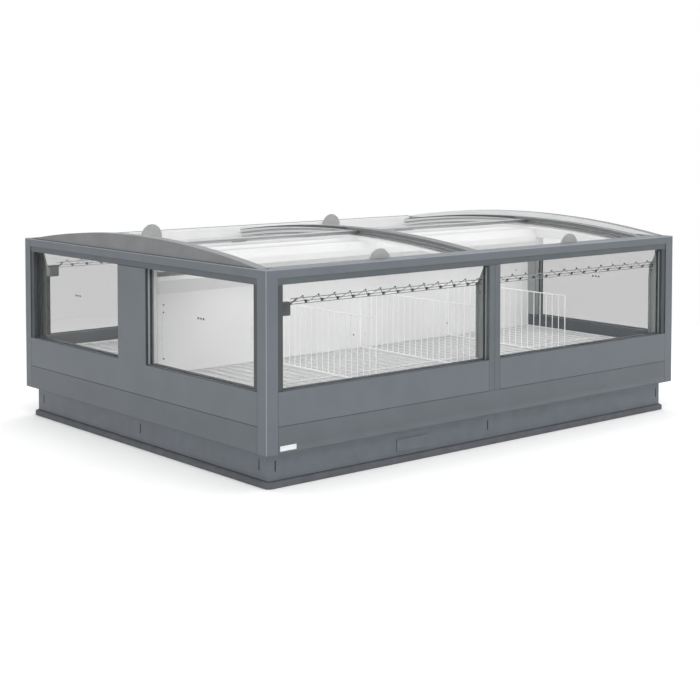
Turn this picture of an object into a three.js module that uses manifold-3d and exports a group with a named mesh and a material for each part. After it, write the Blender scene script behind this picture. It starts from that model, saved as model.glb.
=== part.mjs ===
// A double-sided island freezer: glazed sides, a central air duct and curved lids that slide on arches.
// Millimetres, +Z up, +X along the length, the front at -Y, the origin at the middle of the footprint.
import * as THREE from "three";
import { mergeVertices } from "three/addons/utils/BufferGeometryUtils.js";
import Module from "manifold-3d";

// Body
const length = 2600;
const depth = 2010;
const plinthHeight = 146;
const skirtHeight = 110;
const beltHeight = 142;
const windowHeight = 430;
const bandHeight = 27;
const railHeight = 37;
const sheet = 3;
const seat = 0.3;
const overrun = 5;
const weld = 0.001;

// Plinth, bumper and service hatch
const plinthInset = 43;
const plinthRadius = 12;
const plinthFlange = 30;
const bumperThickness = 16;
const bumperHeight = 30;
const bumperLip = 22;
const slotWidth = 6;
const slotHeight = 44;
const slotBottom = 66;
const slotEndInset = 34;
const slotSideInset = 64;
const hatchWidth = 176;
const hatchHeight = 48;
const hatchBottom = 50;
const hatchCentreX = -470;
const hatchRim = 4;
const hatchFit = 1;

// Base frame and feet
const beamWidth = 60;
const beamHeight = 116;
const crossHeight = 60;
const beamSetback = 262;
const footRadius = 40;
const footStem = 12;
const footPad = 10;

// Tub
const tubWall = 62;
const tubFloor = 80;
const ledgeWidth = 15;
const ledgeDepth = 62;

// Posts, mullions, rails and piers
const postWidth = 60;
const postDepth = 40;
const bodyRadius = 10;
const beadRadius = 8;
const jambWidth = 28;
const jambRecess = 4;
const uprightSheet = 4;
const uprightReach = 75;
const uprightShoulderDrop = 84;
const uprightTopDrop = 10;
const uprightTopReach = 38;
const uprightHole = 5;
const uprightHoleReach = 54;
const uprightHoleDrop = 128;
const mullionWidth = 70;
const mullionGroove = 1;
const railWidth = 90;
const endRailWidth = 50;
const railWall = 4;
const bandRecess = 3;
const pierWidth = 236;
const pierDepth = 65;
const sensorLength = 68;
const sensorDepth = 28;
const sensorHeight = 55;
const sensorDrop = 78;
const sensorGap = 3;

// Panes
const glazing = 20;
const glassRecess = 20;

// Arched tracks and lids
const archRadius = 6400;
const archRise = 51;
const trackFlange = 18;
const midWebWidth = 24;
const endWebWidth = 32;
const endArchOuter = 55;
const glassDrop = 20;
const trackStep = 22;
const lidGlass = 5;
const runnerHeight = 3;
const runnerWidth = 14;
const runningGap = 1;
const sideGap = 2;
const trackFloor = 12;
const capRise = 76;
const capInset = 10;
const lidEndGap = 3;
const edgeBar = 12;
const edgeBead = 4;
const crownWidth = 50;
const frontCrownHeight = 8;
const crownLip = 4;
const frontLidInner = 40;
const rearLidInner = -90;
const handleRadius = 62;
const handleRise = 55.5;
const handleThickness = 6;

// Duct, cover and outlet
const ductWidth = 120;
const ductTopWidth = 236;
const ductShoulderDrop = 128;
const ductFlareDrop = 63;
const ductLip = 20;
const returnGap = 28;
const outletHeight = 22;
const outletDepth = 18;
const finPitch = 82;
const finThickness = 2;
const coverWidth = 240;
const coverTopWidth = 190;
const coverBand = 30;
const coverHeight = 69;
const slotColumnHalf = 63;
const ductSlotWidth = 8;
const ductSlotHeight = 28;
const ductSlotPitch = 41;
const ductSlotRows = 5;
const ductSlotStart = 64;
const ductSlotSide = 60;

// Wire goods
const wire = 5;
const grillePitch = 61;
const grilleGap = 2;
const grilleOuterPart = 327;
const dividerPitch = 41;
const dividerHeight = 289;
const dividerEndGap = 55;
const guardPitch = 87.5;
const guardWire = 3.5;
const guardHeight = 34;
const guardDrop = 70;
const guardSetback = 55;
const guardTilt = 0.35;

// Evaporator and fans
const coilEndGap = 120;
const coilDepth = 480;
const coilTray = 4;
const coilFinPitch = 110;
const coilFin = 4;
const casingTop = 7;
const fanSpacing = 1120;
const fanRadius = 50;
const fanFit = 2;
const motorRadius = 18;
const motorHeight = 40;
const motorArm = 10;
const shaftRadius = 4;
const shaftRise = 28;
const hubRadius = 20;
const hubHeight = 30;
const hubLift = 2;
const bladeCount = 5;
const bladeChord = 24;
const bladeThickness = 2.5;
const bladeRoot = 4;
const bladeAngle = 0.6;

// Levels and planes that follow
const halfLength = length / 2;
const halfDepth = depth / 2;
const underside = plinthHeight;
const seam = underside + skirtHeight;
const sill = seam + beltHeight;
const windowTop = sill + windowHeight;
const bandTop = windowTop + bandHeight;
const railTop = bandTop + railHeight;
const postX = halfLength - postWidth;
const postY = halfDepth - postWidth;
const jambX = postX - jambWidth;
const jambY = postY - jambWidth;
const paneFaceX = halfLength - glassRecess;
const paneFaceY = halfDepth - glassRecess;
const pierInnerX = halfLength - pierDepth;
const linerX = pierInnerX;
const linerY = halfDepth - sheet - tubWall;
const ledgeTop = sill - ledgeDepth;
const grilleTop = ledgeTop + wire;
const plenumX = linerX - ledgeWidth;
const plenumY = linerY - ledgeWidth;
const plinthX = halfLength - plinthInset;
const plinthY = halfDepth - plinthInset;
const beamY = plinthY - beamSetback;
const archEnd = halfDepth - railWidth;
const archCentreZ = railTop + archRise - archRadius;
const frontGlassTop = archRadius - glassDrop;
const rearGlassTop = frontGlassTop - trackStep;
const midWebHalf = midWebWidth / 2;
const midFlangeHalf = midWebHalf + trackFlange;
const endWebOuter = halfLength - endArchOuter;
const endWebInner = endWebOuter - endWebWidth;
const endFlangeInner = endWebInner - trackFlange;
const lidInnerX = midWebHalf + sideGap;
const lidOuterX = endWebInner - sideGap;
const lidOuterY = archEnd - lidEndGap;
const bayCentreX = (midFlangeHalf + endFlangeInner) / 2;

// Curve steps
const archSteps = 16;
const lidSteps = 8;
const cornerSteps = 4;
const roundSteps = 12;

// Materials
const finish = (color, roughness, metalness) =>
  new THREE.MeshStandardMaterial({ color, roughness, metalness, flatShading: true });
const panelPaint = finish(0x6b7378, 0.5, 0.3);
const plinthPaint = finish(0x62686d, 0.55, 0.3);
const capPaint = finish(0x8a8b8b, 0.45, 0.2);
const trackPlastic = finish(0x55585a, 0.6, 0);
const whitePaint = finish(0xe4e6e6, 0.4, 0.1);
const whiteWire = finish(0xf2f3f3, 0.35, 0.1);
const rubber = finish(0x2b2d2f, 0.85, 0);
const darkPlastic = finish(0x3c4043, 0.6, 0);
const clearGlass = finish(0xc9d6d8, 0.05, 0);
const galvanised = finish(0x9aa0a3, 0.4, 0.8);
const aluminium = finish(0xb9bcbe, 0.35, 0.9);

// Geometry helpers
const wasm = await Module();
wasm.setup();

function toSolid(geometry) {
  const bare = new THREE.BufferGeometry();
  bare.setAttribute("position", geometry.getAttribute("position"));
  if (geometry.index) bare.setIndex(geometry.index);
  const merged = mergeVertices(bare, weld);
  return new wasm.Manifold(
    new wasm.Mesh({
      numProp: 3,
      vertProperties: merged.attributes.position.array,
      triVerts: new Uint32Array(merged.index.array),
    }),
  );
}

function toGeometry(solid) {
  const mesh = solid.getMesh();
  const geometry = new THREE.BufferGeometry();
  geometry.setAttribute("position", new THREE.BufferAttribute(mesh.vertProperties, 3));
  geometry.setIndex(new THREE.BufferAttribute(mesh.triVerts, 1));
  return geometry;
}

const join = (...pieces) => toGeometry(pieces.map(toSolid).reduce((sum, piece) => sum.add(piece)));
const cut = (piece, ...tools) =>
  toGeometry(tools.map(toSolid).reduce((rest, tool) => rest.subtract(tool), toSolid(piece)));
const common = (...pieces) =>
  toGeometry(pieces.map(toSolid).reduce((rest, piece) => rest.intersect(piece)));

function outline(points) {
  return new THREE.Shape(points.map(([a, b]) => new THREE.Vector2(a, b)));
}

function rectangle(a0, a1, b0, b1) {
  return outline([[a0, b0], [a1, b0], [a1, b1], [a0, b1]]);
}

function rectangleHole(a0, a1, b0, b1) {
  return new THREE.Path(rectangle(a0, a1, b0, b1).getPoints().reverse());
}

// An outline drawn in the plane square to an axis, drawn out along that axis from low to high.
function extrude(shape, low, high, basis) {
  const geometry = new THREE.ExtrudeGeometry(shape, {
    depth: high - low,
    bevelEnabled: false,
    curveSegments: cornerSteps,
  });
  return geometry.applyMatrix4(basis);
}

const unitX = new THREE.Vector3(1, 0, 0);
const unitY = new THREE.Vector3(0, 1, 0);
const unitZ = new THREE.Vector3(0, 0, 1);

// The outline's two numbers are y and z.
function alongX(shape, low, high) {
  const basis = new THREE.Matrix4().makeBasis(unitY, unitZ, unitX).setPosition(low, 0, 0);
  return extrude(shape, low, high, basis);
}

// The outline's two numbers are x and z.
function alongY(shape, low, high) {
  const back = unitY.clone().negate();
  const basis = new THREE.Matrix4().makeBasis(unitX, unitZ, back).setPosition(0, high, 0);
  return extrude(shape, low, high, basis);
}

// The outline's two numbers are x and y.
function alongZ(shape, low, high) {
  const basis = new THREE.Matrix4().setPosition(0, 0, low);
  return extrude(shape, low, high, basis);
}

const box = (x0, x1, y0, y1, z0, z1) => alongZ(rectangle(x0, x1, y0, y1), z0, z1);

// A plate drawn out by one of the functions above, with gaps cut right through it.
function pierce(draw, plate, gaps, low, high) {
  const tools = gaps.map((gap) => draw(gap, low - overrun, high + overrun));
  return cut(draw(plate, low, high), ...tools);
}

function upright(radius, z0, z1) {
  const geometry = new THREE.CylinderGeometry(radius, radius, z1 - z0, roundSteps);
  return geometry.rotateX(Math.PI / 2).translate(0, 0, (z0 + z1) / 2);
}

// A closed profile carried through a row of stations; place turns a station and a profile point
// into a vector. The profile runs counter-clockwise as seen from behind, looking along the row.
function sweep(profile, stations, place, closed) {
  const size = profile.length;
  const positions = stations.flatMap((station) =>
    profile.flatMap((point) => place(station, point).toArray()),
  );
  const index = [];
  const spans = closed ? stations.length : stations.length - 1;
  for (let i = 0; i < spans; i++) {
    const here = i * size;
    const there = ((i + 1) % stations.length) * size;
    for (let j = 0; j < size; j++) {
      const k = (j + 1) % size;
      index.push(here + j, there + j, there + k, here + j, there + k, here + k);
    }
  }
  if (!closed) {
    const end = (stations.length - 1) * size;
    const contour = profile.map(([a, b]) => new THREE.Vector2(a, b));
    for (const [a, b, c] of THREE.ShapeUtils.triangulateShape(contour, [])) {
      index.push(a, b, c);
      index.push(end + c, end + b, end + a);
    }
  }
  const geometry = new THREE.BufferGeometry();
  geometry.setAttribute("position", new THREE.Float32BufferAttribute(positions, 3));
  geometry.setIndex(index);
  return geometry;
}

// The height of the arch at a distance from the middle, for a radius about the arch's centre line.
const heightAt = (radius, y) => archCentreZ + Math.sqrt(radius ** 2 - y ** 2);

// A profile in x and radius, carried over the arch from one depth to another.
function overArch(profile, y0, y1, steps) {
  const stations = Array.from({ length: steps + 1 }, (_, i) => y0 + ((y1 - y0) * i) / steps);
  const place = (y, [x, radius]) => new THREE.Vector3(x, y, heightAt(radius, y));
  return sweep(profile, stations, place, false);
}

const bar = (x0, x1, r0, r1) => [[x0, r0], [x1, r0], [x1, r1], [x0, r1]];

// A profile in outward offset and height, carried round a rectangle with rounded corners.
function roundBody(profile, halfX, halfY, radius) {
  const stations = [0, 1, 2, 3].flatMap((corner) =>
    Array.from({ length: cornerSteps + 1 }, (_, i) => ({
      x: (corner === 0 || corner === 3 ? 1 : -1) * (halfX - radius),
      y: (corner < 2 ? 1 : -1) * (halfY - radius),
      angle: ((corner + i / cornerSteps) * Math.PI) / 2,
    })),
  );
  const place = ({ x, y, angle }, [offset, z]) =>
    new THREE.Vector3(
      x + (radius + offset) * Math.cos(angle),
      y + (radius + offset) * Math.sin(angle),
      z,
    );
  return sweep(profile, stations, place, true);
}

// The assembly
const freezer = new THREE.Group();
freezer.name = "island_chest_freezer";

function add(name, geometry, material, sideX = 1, sideY = 1) {
  const mesh = new THREE.Mesh(geometry, material);
  mesh.name = name;
  mesh.scale.set(sideX, sideY, 1);
  freezer.add(mesh);
  return mesh;
}

const ends = [["left", -1], ["right", 1]];
const sides = [["front", -1], ["rear", 1]];

// Bumper and plinth
function bumper() {
  const profile = [[0, 0], [bumperThickness, 0], [bumperThickness, bumperLip], [0, bumperHeight]];
  return roundBody(profile, plinthX, plinthY, plinthRadius);
}

function plinth() {
  const profile = [
    [-sheet, 0],
    [0, 0],
    [0, underside],
    [-plinthFlange, underside],
    [-plinthFlange, underside - sheet],
    [-sheet, underside - sheet],
  ];
  const ring = roundBody(profile, plinthX, plinthY, plinthRadius);
  const slotX = plinthX - slotEndInset;
  const slotY = plinthY - slotSideInset;
  const half = slotWidth / 2;
  const slots = [-1, 0, 1].flatMap((place) => [
    alongY(
      rectangle(place * slotX - half, place * slotX + half, slotBottom, slotBottom + slotHeight),
      -halfDepth,
      halfDepth,
    ),
    alongX(
      rectangle(place * slotY - half, place * slotY + half, slotBottom, slotBottom + slotHeight),
      -halfLength,
      halfLength,
    ),
  ]);
  const hatchHole = box(
    hatchCentreX - hatchWidth / 2,
    hatchCentreX + hatchWidth / 2,
    -halfDepth,
    overrun - plinthY,
    hatchBottom,
    hatchBottom + hatchHeight,
  );
  return cut(ring, ...slots, hatchHole);
}

function hatch() {
  const half = hatchWidth / 2;
  const face = -plinthY - seat;
  const cover = box(
    hatchCentreX - half - hatchRim,
    hatchCentreX + half + hatchRim,
    face - sheet,
    face,
    hatchBottom - hatchRim,
    hatchBottom + hatchHeight + hatchRim,
  );
  const plug = box(
    hatchCentreX - half + hatchFit,
    hatchCentreX + half - hatchFit,
    face - sheet / 2,
    face + sheet,
    hatchBottom + hatchFit,
    hatchBottom + hatchHeight - hatchFit,
  );
  return join(cover, plug);
}

add("bumper_ring", bumper(), rubber);
add("plinth_ring", plinth(), plinthPaint);
add("service_hatch", hatch(), plinthPaint);

// Base frame
function baseFrame() {
  const beamX = plinthX - plinthFlange - overrun;
  const beams = [-1, 1].map((side) =>
    box(
      -beamX,
      beamX,
      side * beamY - beamWidth / 2,
      side * beamY + beamWidth / 2,
      underside - beamHeight,
      underside,
    ),
  );
  const crossShares = [-0.92, -0.32, 0.32, 0.92];
  const crosses = crossShares.map((share) =>
    box(
      share * beamX - beamWidth / 2,
      share * beamX + beamWidth / 2,
      -beamY,
      beamY,
      underside - crossHeight,
      underside,
    ),
  );
  const feet = crossShares.flatMap((share) =>
    [-1, 1].flatMap((side) => [
      upright(footRadius, 0, footPad).translate(share * beamX, side * beamY, 0),
      upright(footStem, 0, underside - crossHeight).translate(share * beamX, side * beamY, 0),
    ]),
  );
  return join(...beams, ...crosses, ...feet);
}

add("base_frame", baseFrame(), galvanised);

// Insulated tub, notched at the corners for the posts and set back behind the mullions
function tub() {
  const outerX = halfLength - sheet;
  const outerY = halfDepth - sheet;
  const corner = [
    [outerX, postY],
    [postX, postY],
    [postX, outerY],
  ];
  const turned = [
    ...corner,
    ...corner.map(([x, y]) => [-x, y]).reverse(),
    ...corner.map(([x, y]) => [-x, -y]),
    ...corner.map(([x, y]) => [x, -y]).reverse(),
  ];
  const block = alongZ(outline(turned), underside, sill);
  const well = box(-linerX, linerX, -linerY, linerY, ledgeTop, sill + overrun);
  const plenum = box(-plenumX, plenumX, -plenumY, plenumY, underside + tubFloor, sill);
  return cut(block, well, plenum);
}

add("insulated_tub", tub(), whitePaint);

// Skirt and belt panels
function skirtFront() {
  return box(-postX, postX, halfDepth - sheet, halfDepth, underside, seam);
}

function skirtEnd() {
  return box(halfLength - sheet, halfLength, -postY, postY, underside, seam);
}

function belt() {
  return box(mullionWidth / 2, postX, halfDepth - sheet, halfDepth, seam, sill);
}

for (const [side, sideY] of sides) {
  add(`skirt_${side}`, skirtFront(), panelPaint, 1, sideY);
  for (const [end, sideX] of ends) add(`belt_${side}_${end}`, belt(), panelPaint, sideX, sideY);
}
for (const [end, sideX] of ends) add(`skirt_${end}`, skirtEnd(), panelPaint, sideX);

// End panels: the band under the end windows and the pier between them, out of one sheet
function endPanel() {
  const tee = outline([
    [-postY, seam],
    [postY, seam],
    [postY, sill],
    [pierWidth / 2, sill],
    [pierWidth / 2, windowTop],
    [-pierWidth / 2, windowTop],
    [-pierWidth / 2, sill],
    [-postY, sill],
  ]);
  const face = alongX(tee, halfLength - sheet, halfLength);
  const half = pierWidth / 2;
  const pier = box(pierInnerX, halfLength, -half, half, sill, windowTop);
  return join(face, pier);
}

for (const [end, sideX] of ends) add(`end_panel_${end}`, endPanel(), panelPaint, sideX);

// The folded plate at the side of a long window, square to the pane
function uprightPlate(x0, x1) {
  const inner = halfDepth - uprightReach;
  const top = windowTop - uprightTopDrop;
  const plate = outline([
    [paneFaceY, sill],
    [paneFaceY, top],
    [halfDepth - uprightTopReach, top],
    [inner, windowTop - uprightShoulderDrop],
    [inner, sill],
  ]);
  const hole = new THREE.Path();
  const holeZ = windowTop - uprightHoleDrop;
  hole.absarc(halfDepth - uprightHoleReach, holeZ, uprightHole, 0, Math.PI * 2);
  plate.holes.push(hole);
  return alongX(plate, x0, x1);
}

// The rounded top corner of the posts and rails, as a profile of distance out and height
function beadedProfile(inner, outer, bottom) {
  const shape = new THREE.Shape();
  shape.moveTo(inner, bottom);
  shape.lineTo(outer, bottom);
  shape.lineTo(outer, railTop - beadRadius);
  shape.absarc(outer - beadRadius, railTop - beadRadius, beadRadius, 0, Math.PI / 2);
  shape.lineTo(inner, railTop);
  return shape;
}

function cornerPost(sensor) {
  const innerX = halfLength - postDepth;
  const innerY = halfDepth - postDepth;
  const plan = new THREE.Shape();
  plan.moveTo(halfLength, postY);
  plan.lineTo(halfLength, halfDepth - bodyRadius);
  plan.absarc(halfLength - bodyRadius, halfDepth - bodyRadius, bodyRadius, 0, Math.PI / 2);
  plan.lineTo(postX, halfDepth);
  plan.lineTo(postX, innerY);
  plan.lineTo(innerX, innerY);
  plan.lineTo(innerX, postY);
  const column = common(
    alongZ(plan, underside, railTop),
    alongX(beadedProfile(postY, halfDepth, underside), postX, halfLength),
    alongY(beadedProfile(postX, halfLength, underside), postY, halfDepth),
  );
  const frontJamb = box(jambX, innerX, innerY, halfDepth - jambRecess, sill, windowTop);
  const endJamb = box(innerX, halfLength - jambRecess, jambY, innerY, sill, windowTop);
  const plate = uprightPlate(jambX - uprightSheet, jambX + overrun);
  const plateBeyondJamb = cut(plate, box(jambX, postX, innerY, halfDepth, sill, windowTop));
  const pieces = [column, frontJamb, endJamb, plateBeyondJamb];
  if (sensor) pieces.push(sensorHousing());
  return join(...pieces);
}

// The dark housing behind the pane, high on the left posts
function sensorHousing() {
  const outer = paneFaceY - glazing - sensorGap;
  return box(
    jambX - sensorLength,
    jambX,
    outer - sensorDepth,
    outer,
    windowTop - sensorDrop - sensorHeight,
    windowTop - sensorDrop,
  );
}

for (const [side, sideY] of sides)
  for (const [end, sideX] of ends)
    add(`corner_post_${side}_${end}`, cornerPost(end === "left"), panelPaint, sideX, sideY);

function mullion() {
  const half = mullionWidth / 2;
  const groove = mullionGroove;
  const face = (inner) =>
    outline([
      [-half, inner],
      [half, inner],
      [half, halfDepth],
      [groove, halfDepth],
      [0, halfDepth - groove],
      [-groove, halfDepth],
      [-half, halfDepth],
    ]);
  return join(
    alongZ(face(halfDepth - sheet), seam, sill + overrun),
    alongZ(face(halfDepth - postDepth), sill, windowTop),
    uprightPlate(half - overrun, half + uprightSheet),
    uprightPlate(-half - uprightSheet, overrun - half),
  );
}

for (const [side, sideY] of sides) add(`mullion_${side}`, mullion(), panelPaint, 1, sideY);

// Top rails: hollow sections with the recessed band under them
function railProfile(outer, width) {
  const inner = outer - width;
  const shape = new THREE.Shape();
  shape.moveTo(inner, windowTop);
  shape.lineTo(outer - bandRecess, windowTop);
  shape.lineTo(outer - bandRecess, bandTop);
  shape.lineTo(outer, bandTop);
  shape.lineTo(outer, railTop - beadRadius);
  shape.absarc(outer - beadRadius, railTop - beadRadius, beadRadius, 0, Math.PI / 2);
  shape.lineTo(inner, railTop);
  const hollow = rectangleHole(
    inner + railWall,
    outer - railWall - beadRadius,
    windowTop + railWall,
    railTop - railWall,
  );
  shape.holes.push(hollow);
  return shape;
}

for (const [side, sideY] of sides) {
  const rail = alongX(railProfile(halfDepth, railWidth), -postX, postX);
  add(`top_rail_${side}`, rail, panelPaint, 1, sideY);
}
for (const [end, sideX] of ends) {
  const rail = alongY(railProfile(halfLength, endRailWidth), -postY, postY);
  add(`top_rail_${end}`, rail, panelPaint, sideX);
}

// Side window panes
function longPane() {
  const x0 = mullionWidth / 2 + uprightSheet + seat;
  const x1 = jambX - uprightSheet - seat;
  return box(x0, x1, paneFaceY - glazing, paneFaceY, sill + seat, windowTop - seat);
}

function endPane() {
  const y0 = pierWidth / 2 + seat;
  const y1 = jambY - seat;
  return box(paneFaceX - glazing, paneFaceX, y0, y1, sill + seat, windowTop - seat);
}

for (const [side, sideY] of sides)
  for (const [end, sideX] of ends) {
    add(`window_${side}_${end}`, longPane(), clearGlass, sideX, sideY);
    add(`end_window_${side}_${end}`, endPane(), clearGlass, sideX, sideY);
  }

// Arched tracks: three flanges on a web, with a groove for each lid level
const grooveTop = frontGlassTop + seat + runnerHeight + runningGap;
const stepTop = frontGlassTop - lidGlass - runningGap;
const stepBottom = rearGlassTop + seat + runnerHeight + runningGap;
const floorTop = rearGlassTop - lidGlass - runningGap;
const floorBottom = floorTop - trackFloor;

function trackSide(web, flange) {
  return [
    [flange, floorBottom],
    [flange, floorTop],
    [web, floorTop],
    [web, stepBottom],
    [flange, stepBottom],
    [flange, stepTop],
    [web, stepTop],
    [web, grooveTop],
    [flange, grooveTop],
    [flange, archRadius],
  ];
}

function midArch() {
  const right = trackSide(midWebHalf, midFlangeHalf);
  const left = right.map(([x, radius]) => [-x, radius]).reverse();
  return overArch([...right, ...left], -archEnd, archEnd, archSteps);
}

function endArch() {
  const inner = trackSide(endWebInner, endFlangeInner).reverse();
  const profile = [[endWebOuter, floorBottom], [endWebOuter, archRadius], ...inner];
  const track = overArch(profile, -archEnd, archEnd, archSteps);
  return join(track, endCap());
}

// The lens-shaped fascia: a chord on the end rail under a flat arc
function endCap() {
  const capRadius = (postY ** 2 + capRise ** 2) / (2 * capRise);
  const centreZ = railTop + capRise - capRadius;
  const half = Math.asin(postY / capRadius);
  const arc = Array.from({ length: archSteps + 1 }, (_, i) => {
    const angle = half - (2 * half * i) / archSteps;
    return [capRadius * Math.sin(angle), centreZ + capRadius * Math.cos(angle)];
  });
  return alongX(outline(arc.reverse()), endWebOuter - overrun, halfLength - capInset);
}

add("mid_arch", midArch(), trackPlastic);
for (const [end, sideX] of ends) add(`end_arch_${end}`, endArch(), capPaint, sideX);

// Curved lids, drawn for the rear side and turned over for the front. The runners lie on the pane,
// under the roof of the groove, and tie the crown bar to the outer edge bar.
function lidPane(glassTop, inner) {
  const profile = bar(lidInnerX, lidOuterX, glassTop - lidGlass, glassTop);
  return overArch(profile, inner, lidOuterY - edgeBar - seat, lidSteps);
}

function lidFrame(glassTop, inner, crownHeight) {
  const under = glassTop - lidGlass;
  const runnerTop = glassTop + seat + runnerHeight;
  const outerEdge = lidOuterY - edgeBar;
  const lipStart = inner - seat - crownLip;
  const lipEnd = inner - seat;
  const clearInner = midFlangeHalf + sideGap;
  const clearOuter = endFlangeInner - sideGap;
  const runner = (x) =>
    overArch(bar(x, x + runnerWidth, glassTop + seat, runnerTop), lipStart, lidOuterY, lidSteps);
  const crown = bar(clearInner, clearOuter, glassTop + seat, glassTop + crownHeight);
  const lip = bar(clearInner, clearOuter, under, glassTop + crownHeight);
  const closing = bar(lidInnerX, lidOuterX, under, runnerTop);
  const bead = bar(clearInner, clearOuter, under, glassTop + edgeBead);
  return join(
    runner(lidInnerX),
    runner(lidOuterX - runnerWidth),
    overArch(closing, outerEdge, lidOuterY, 1),
    overArch(bead, outerEdge, lidOuterY, 1),
    overArch(closing, lipStart, lipEnd, 1),
    overArch(lip, lipStart, lipEnd, 1),
    overArch(crown, lipStart, inner + crownWidth, 2),
    lidHandle(glassTop),
  );
}

// A half-round tab standing on the outer edge bar
function lidHandle(glassTop) {
  const middle = lidOuterY - edgeBar / 2;
  const topZ = heightAt(archRadius, middle) + handleRise;
  const centreZ = topZ - handleRadius;
  const footZ = heightAt(glassTop, middle) - runnerHeight;
  const tab = new THREE.Shape();
  tab.moveTo(bayCentreX - handleRadius, footZ);
  tab.lineTo(bayCentreX + handleRadius, footZ);
  tab.lineTo(bayCentreX + handleRadius, centreZ);
  tab.absarc(bayCentreX, centreZ, handleRadius, 0, Math.PI);
  return alongY(tab, middle - handleThickness / 2, middle + handleThickness / 2);
}

const lids = [
  ["front", -1, frontGlassTop, frontLidInner, frontCrownHeight],
  ["rear", 1, rearGlassTop, rearLidInner, seat + runnerHeight],
];
for (const [side, sideY, glassTop, inner, crownHeight] of lids)
  for (const [end, sideX] of ends) {
    add(`lid_glass_${side}_${end}`, lidPane(glassTop, inner), clearGlass, sideX, sideY);
    add(`lid_frame_${side}_${end}`, lidFrame(glassTop, inner, crownHeight), aluminium, sideX, sideY);
  }

// Air duct: two flared side sheets with columns of slots, joined by webs
const ductBottom = ledgeTop - sheet;
const shoulderZ = windowTop - ductShoulderDrop;
const flareZ = windowTop - ductFlareDrop;
const lipZ = flareZ + ductLip;

function ductSide() {
  const near = ductWidth / 2;
  const wide = ductTopWidth / 2;
  const flare = outline([
    [near - sheet, shoulderZ - overrun],
    [near, shoulderZ - overrun],
    [near, shoulderZ],
    [wide - sheet, flareZ],
    [wide, flareZ],
    [wide, lipZ],
    [wide - sheet, lipZ],
    [wide - sheet, flareZ + sheet],
    [wide - sheet - sheet, flareZ + sheet],
    [near - sheet, shoulderZ + sheet],
  ]);
  const slots = [];
  const bays = [-bayCentreX, 0, bayCentreX];
  const columns = bays.flatMap((x) => [x - slotColumnHalf, x + slotColumnHalf]);
  columns.push(ductSlotSide - linerX, linerX - ductSlotSide);
  for (const x of columns)
    for (let row = 0; row < ductSlotRows; row++) {
      const bottom = ledgeTop + ductSlotStart + row * ductSlotPitch;
      const half = ductSlotWidth / 2;
      slots.push(rectangle(x - half, x + half, bottom, bottom + ductSlotHeight));
    }
  const wall = outline([
    [-plenumX, ductBottom],
    [plenumX, ductBottom],
    [plenumX, ledgeTop],
    [linerX, ledgeTop],
    [linerX, shoulderZ],
    [-linerX, shoulderZ],
    [-linerX, ledgeTop],
    [-plenumX, ledgeTop],
  ]);
  return join(
    pierce(alongY, wall, slots, near - sheet, near),
    alongX(flare, -linerX, linerX),
    box(-plenumX, plenumX, near - sheet, plenumY - returnGap, ductBottom, ledgeTop),
  );
}

function ductWall() {
  const near = ductWidth / 2;
  const side = ductSide();
  const opposite = side.clone().rotateZ(Math.PI);
  const web = (x) => box(x, x + sheet, -near, near, ledgeTop, shoulderZ);
  return join(side, opposite, web(-linerX), web(-sheet / 2), web(linerX - sheet));
}

// Cover over the duct, on the fins of the air outlet
function ductCover() {
  const half = coverWidth / 2;
  const top = coverTopWidth / 2;
  const bottom = lipZ + outletHeight;
  const shell = outline([
    [half - outletDepth, bottom],
    [half, bottom],
    [half, bottom + coverBand],
    [top, bottom + coverHeight],
    [-top, bottom + coverHeight],
    [-half, bottom + coverBand],
    [-half, bottom],
    [outletDepth - half, bottom],
    [outletDepth - half, bottom + sheet],
    [sheet - half, bottom + sheet],
    [sheet - half, bottom + coverBand],
    [sheet - top, bottom + coverHeight - sheet],
    [top - sheet, bottom + coverHeight - sheet],
    [half - sheet, bottom + coverBand],
    [half - sheet, bottom + sheet],
    [half - outletDepth, bottom + sheet],
  ]);
  const count = Math.round((2 * linerX) / finPitch);
  const pitch = (2 * linerX - finThickness) / count;
  const fins = Array.from({ length: count + 1 }, (_, i) => {
    const x = -linerX + i * pitch;
    return [-1, 1].map((side) => {
      const near = side * (half - outletDepth);
      const far = (side * ductTopWidth) / 2;
      const [y0, y1] = [Math.min(near, far), Math.max(near, far)];
      return box(x, x + finThickness, y0, y1, lipZ, bottom + sheet / 2);
    });
  });
  return join(alongX(shell, -linerX, linerX), ...fins.flat());
}

add("duct_wall", ductWall(), whitePaint);
add("duct_cover", ductCover(), whitePaint);

// The gaps of a flat net between a0 and a1, in rows that each run from a low to a high value
function netGaps(a0, a1, pitch, rows) {
  const count = Math.round((a1 - a0) / pitch);
  const step = (a1 - a0 - wire) / count;
  return rows.flatMap(([low, high]) =>
    Array.from({ length: count }, (_, i) => {
      const left = a0 + wire + i * step;
      return rectangle(left, left + step - wire, low, high);
    }),
  );
}

// Floor grilles, one to each bay and side, each in two parts that meet at a double wire
function grille() {
  const near = ductWidth / 2 + wire;
  const far = linerY - grilleGap;
  const [x0, x1] = [grilleGap, linerX - grilleGap];
  const split = far - grilleOuterPart;
  const rows = [
    [near + wire, split - wire],
    [split + wire, far - wire],
  ];
  const gaps = netGaps(x0, x1, grillePitch, rows);
  return pierce(alongZ, rectangle(x0, x1, near, far), gaps, ledgeTop, grilleTop);
}

for (const [side, sideY] of sides)
  for (const [end, sideX] of ends)
    add(`floor_grille_${side}_${end}`, grille(), whiteWire, sideX, sideY);

// Dividers across the front well
function divider(x) {
  const near = -ductWidth / 2 - wire;
  const bottom = grilleTop + seat;
  const far = dividerEndGap - linerY;
  const top = bottom + dividerHeight;
  const gaps = netGaps(far, near, dividerPitch, [[bottom + wire, top - wire]]);
  return pierce(alongX, rectangle(far, near, bottom, top), gaps, x - wire / 2, x + wire / 2);
}

["left", "middle", "right"].forEach((place, i) =>
  add(`divider_${place}`, divider((i - 1) * bayCentreX), whiteWire),
);

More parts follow.
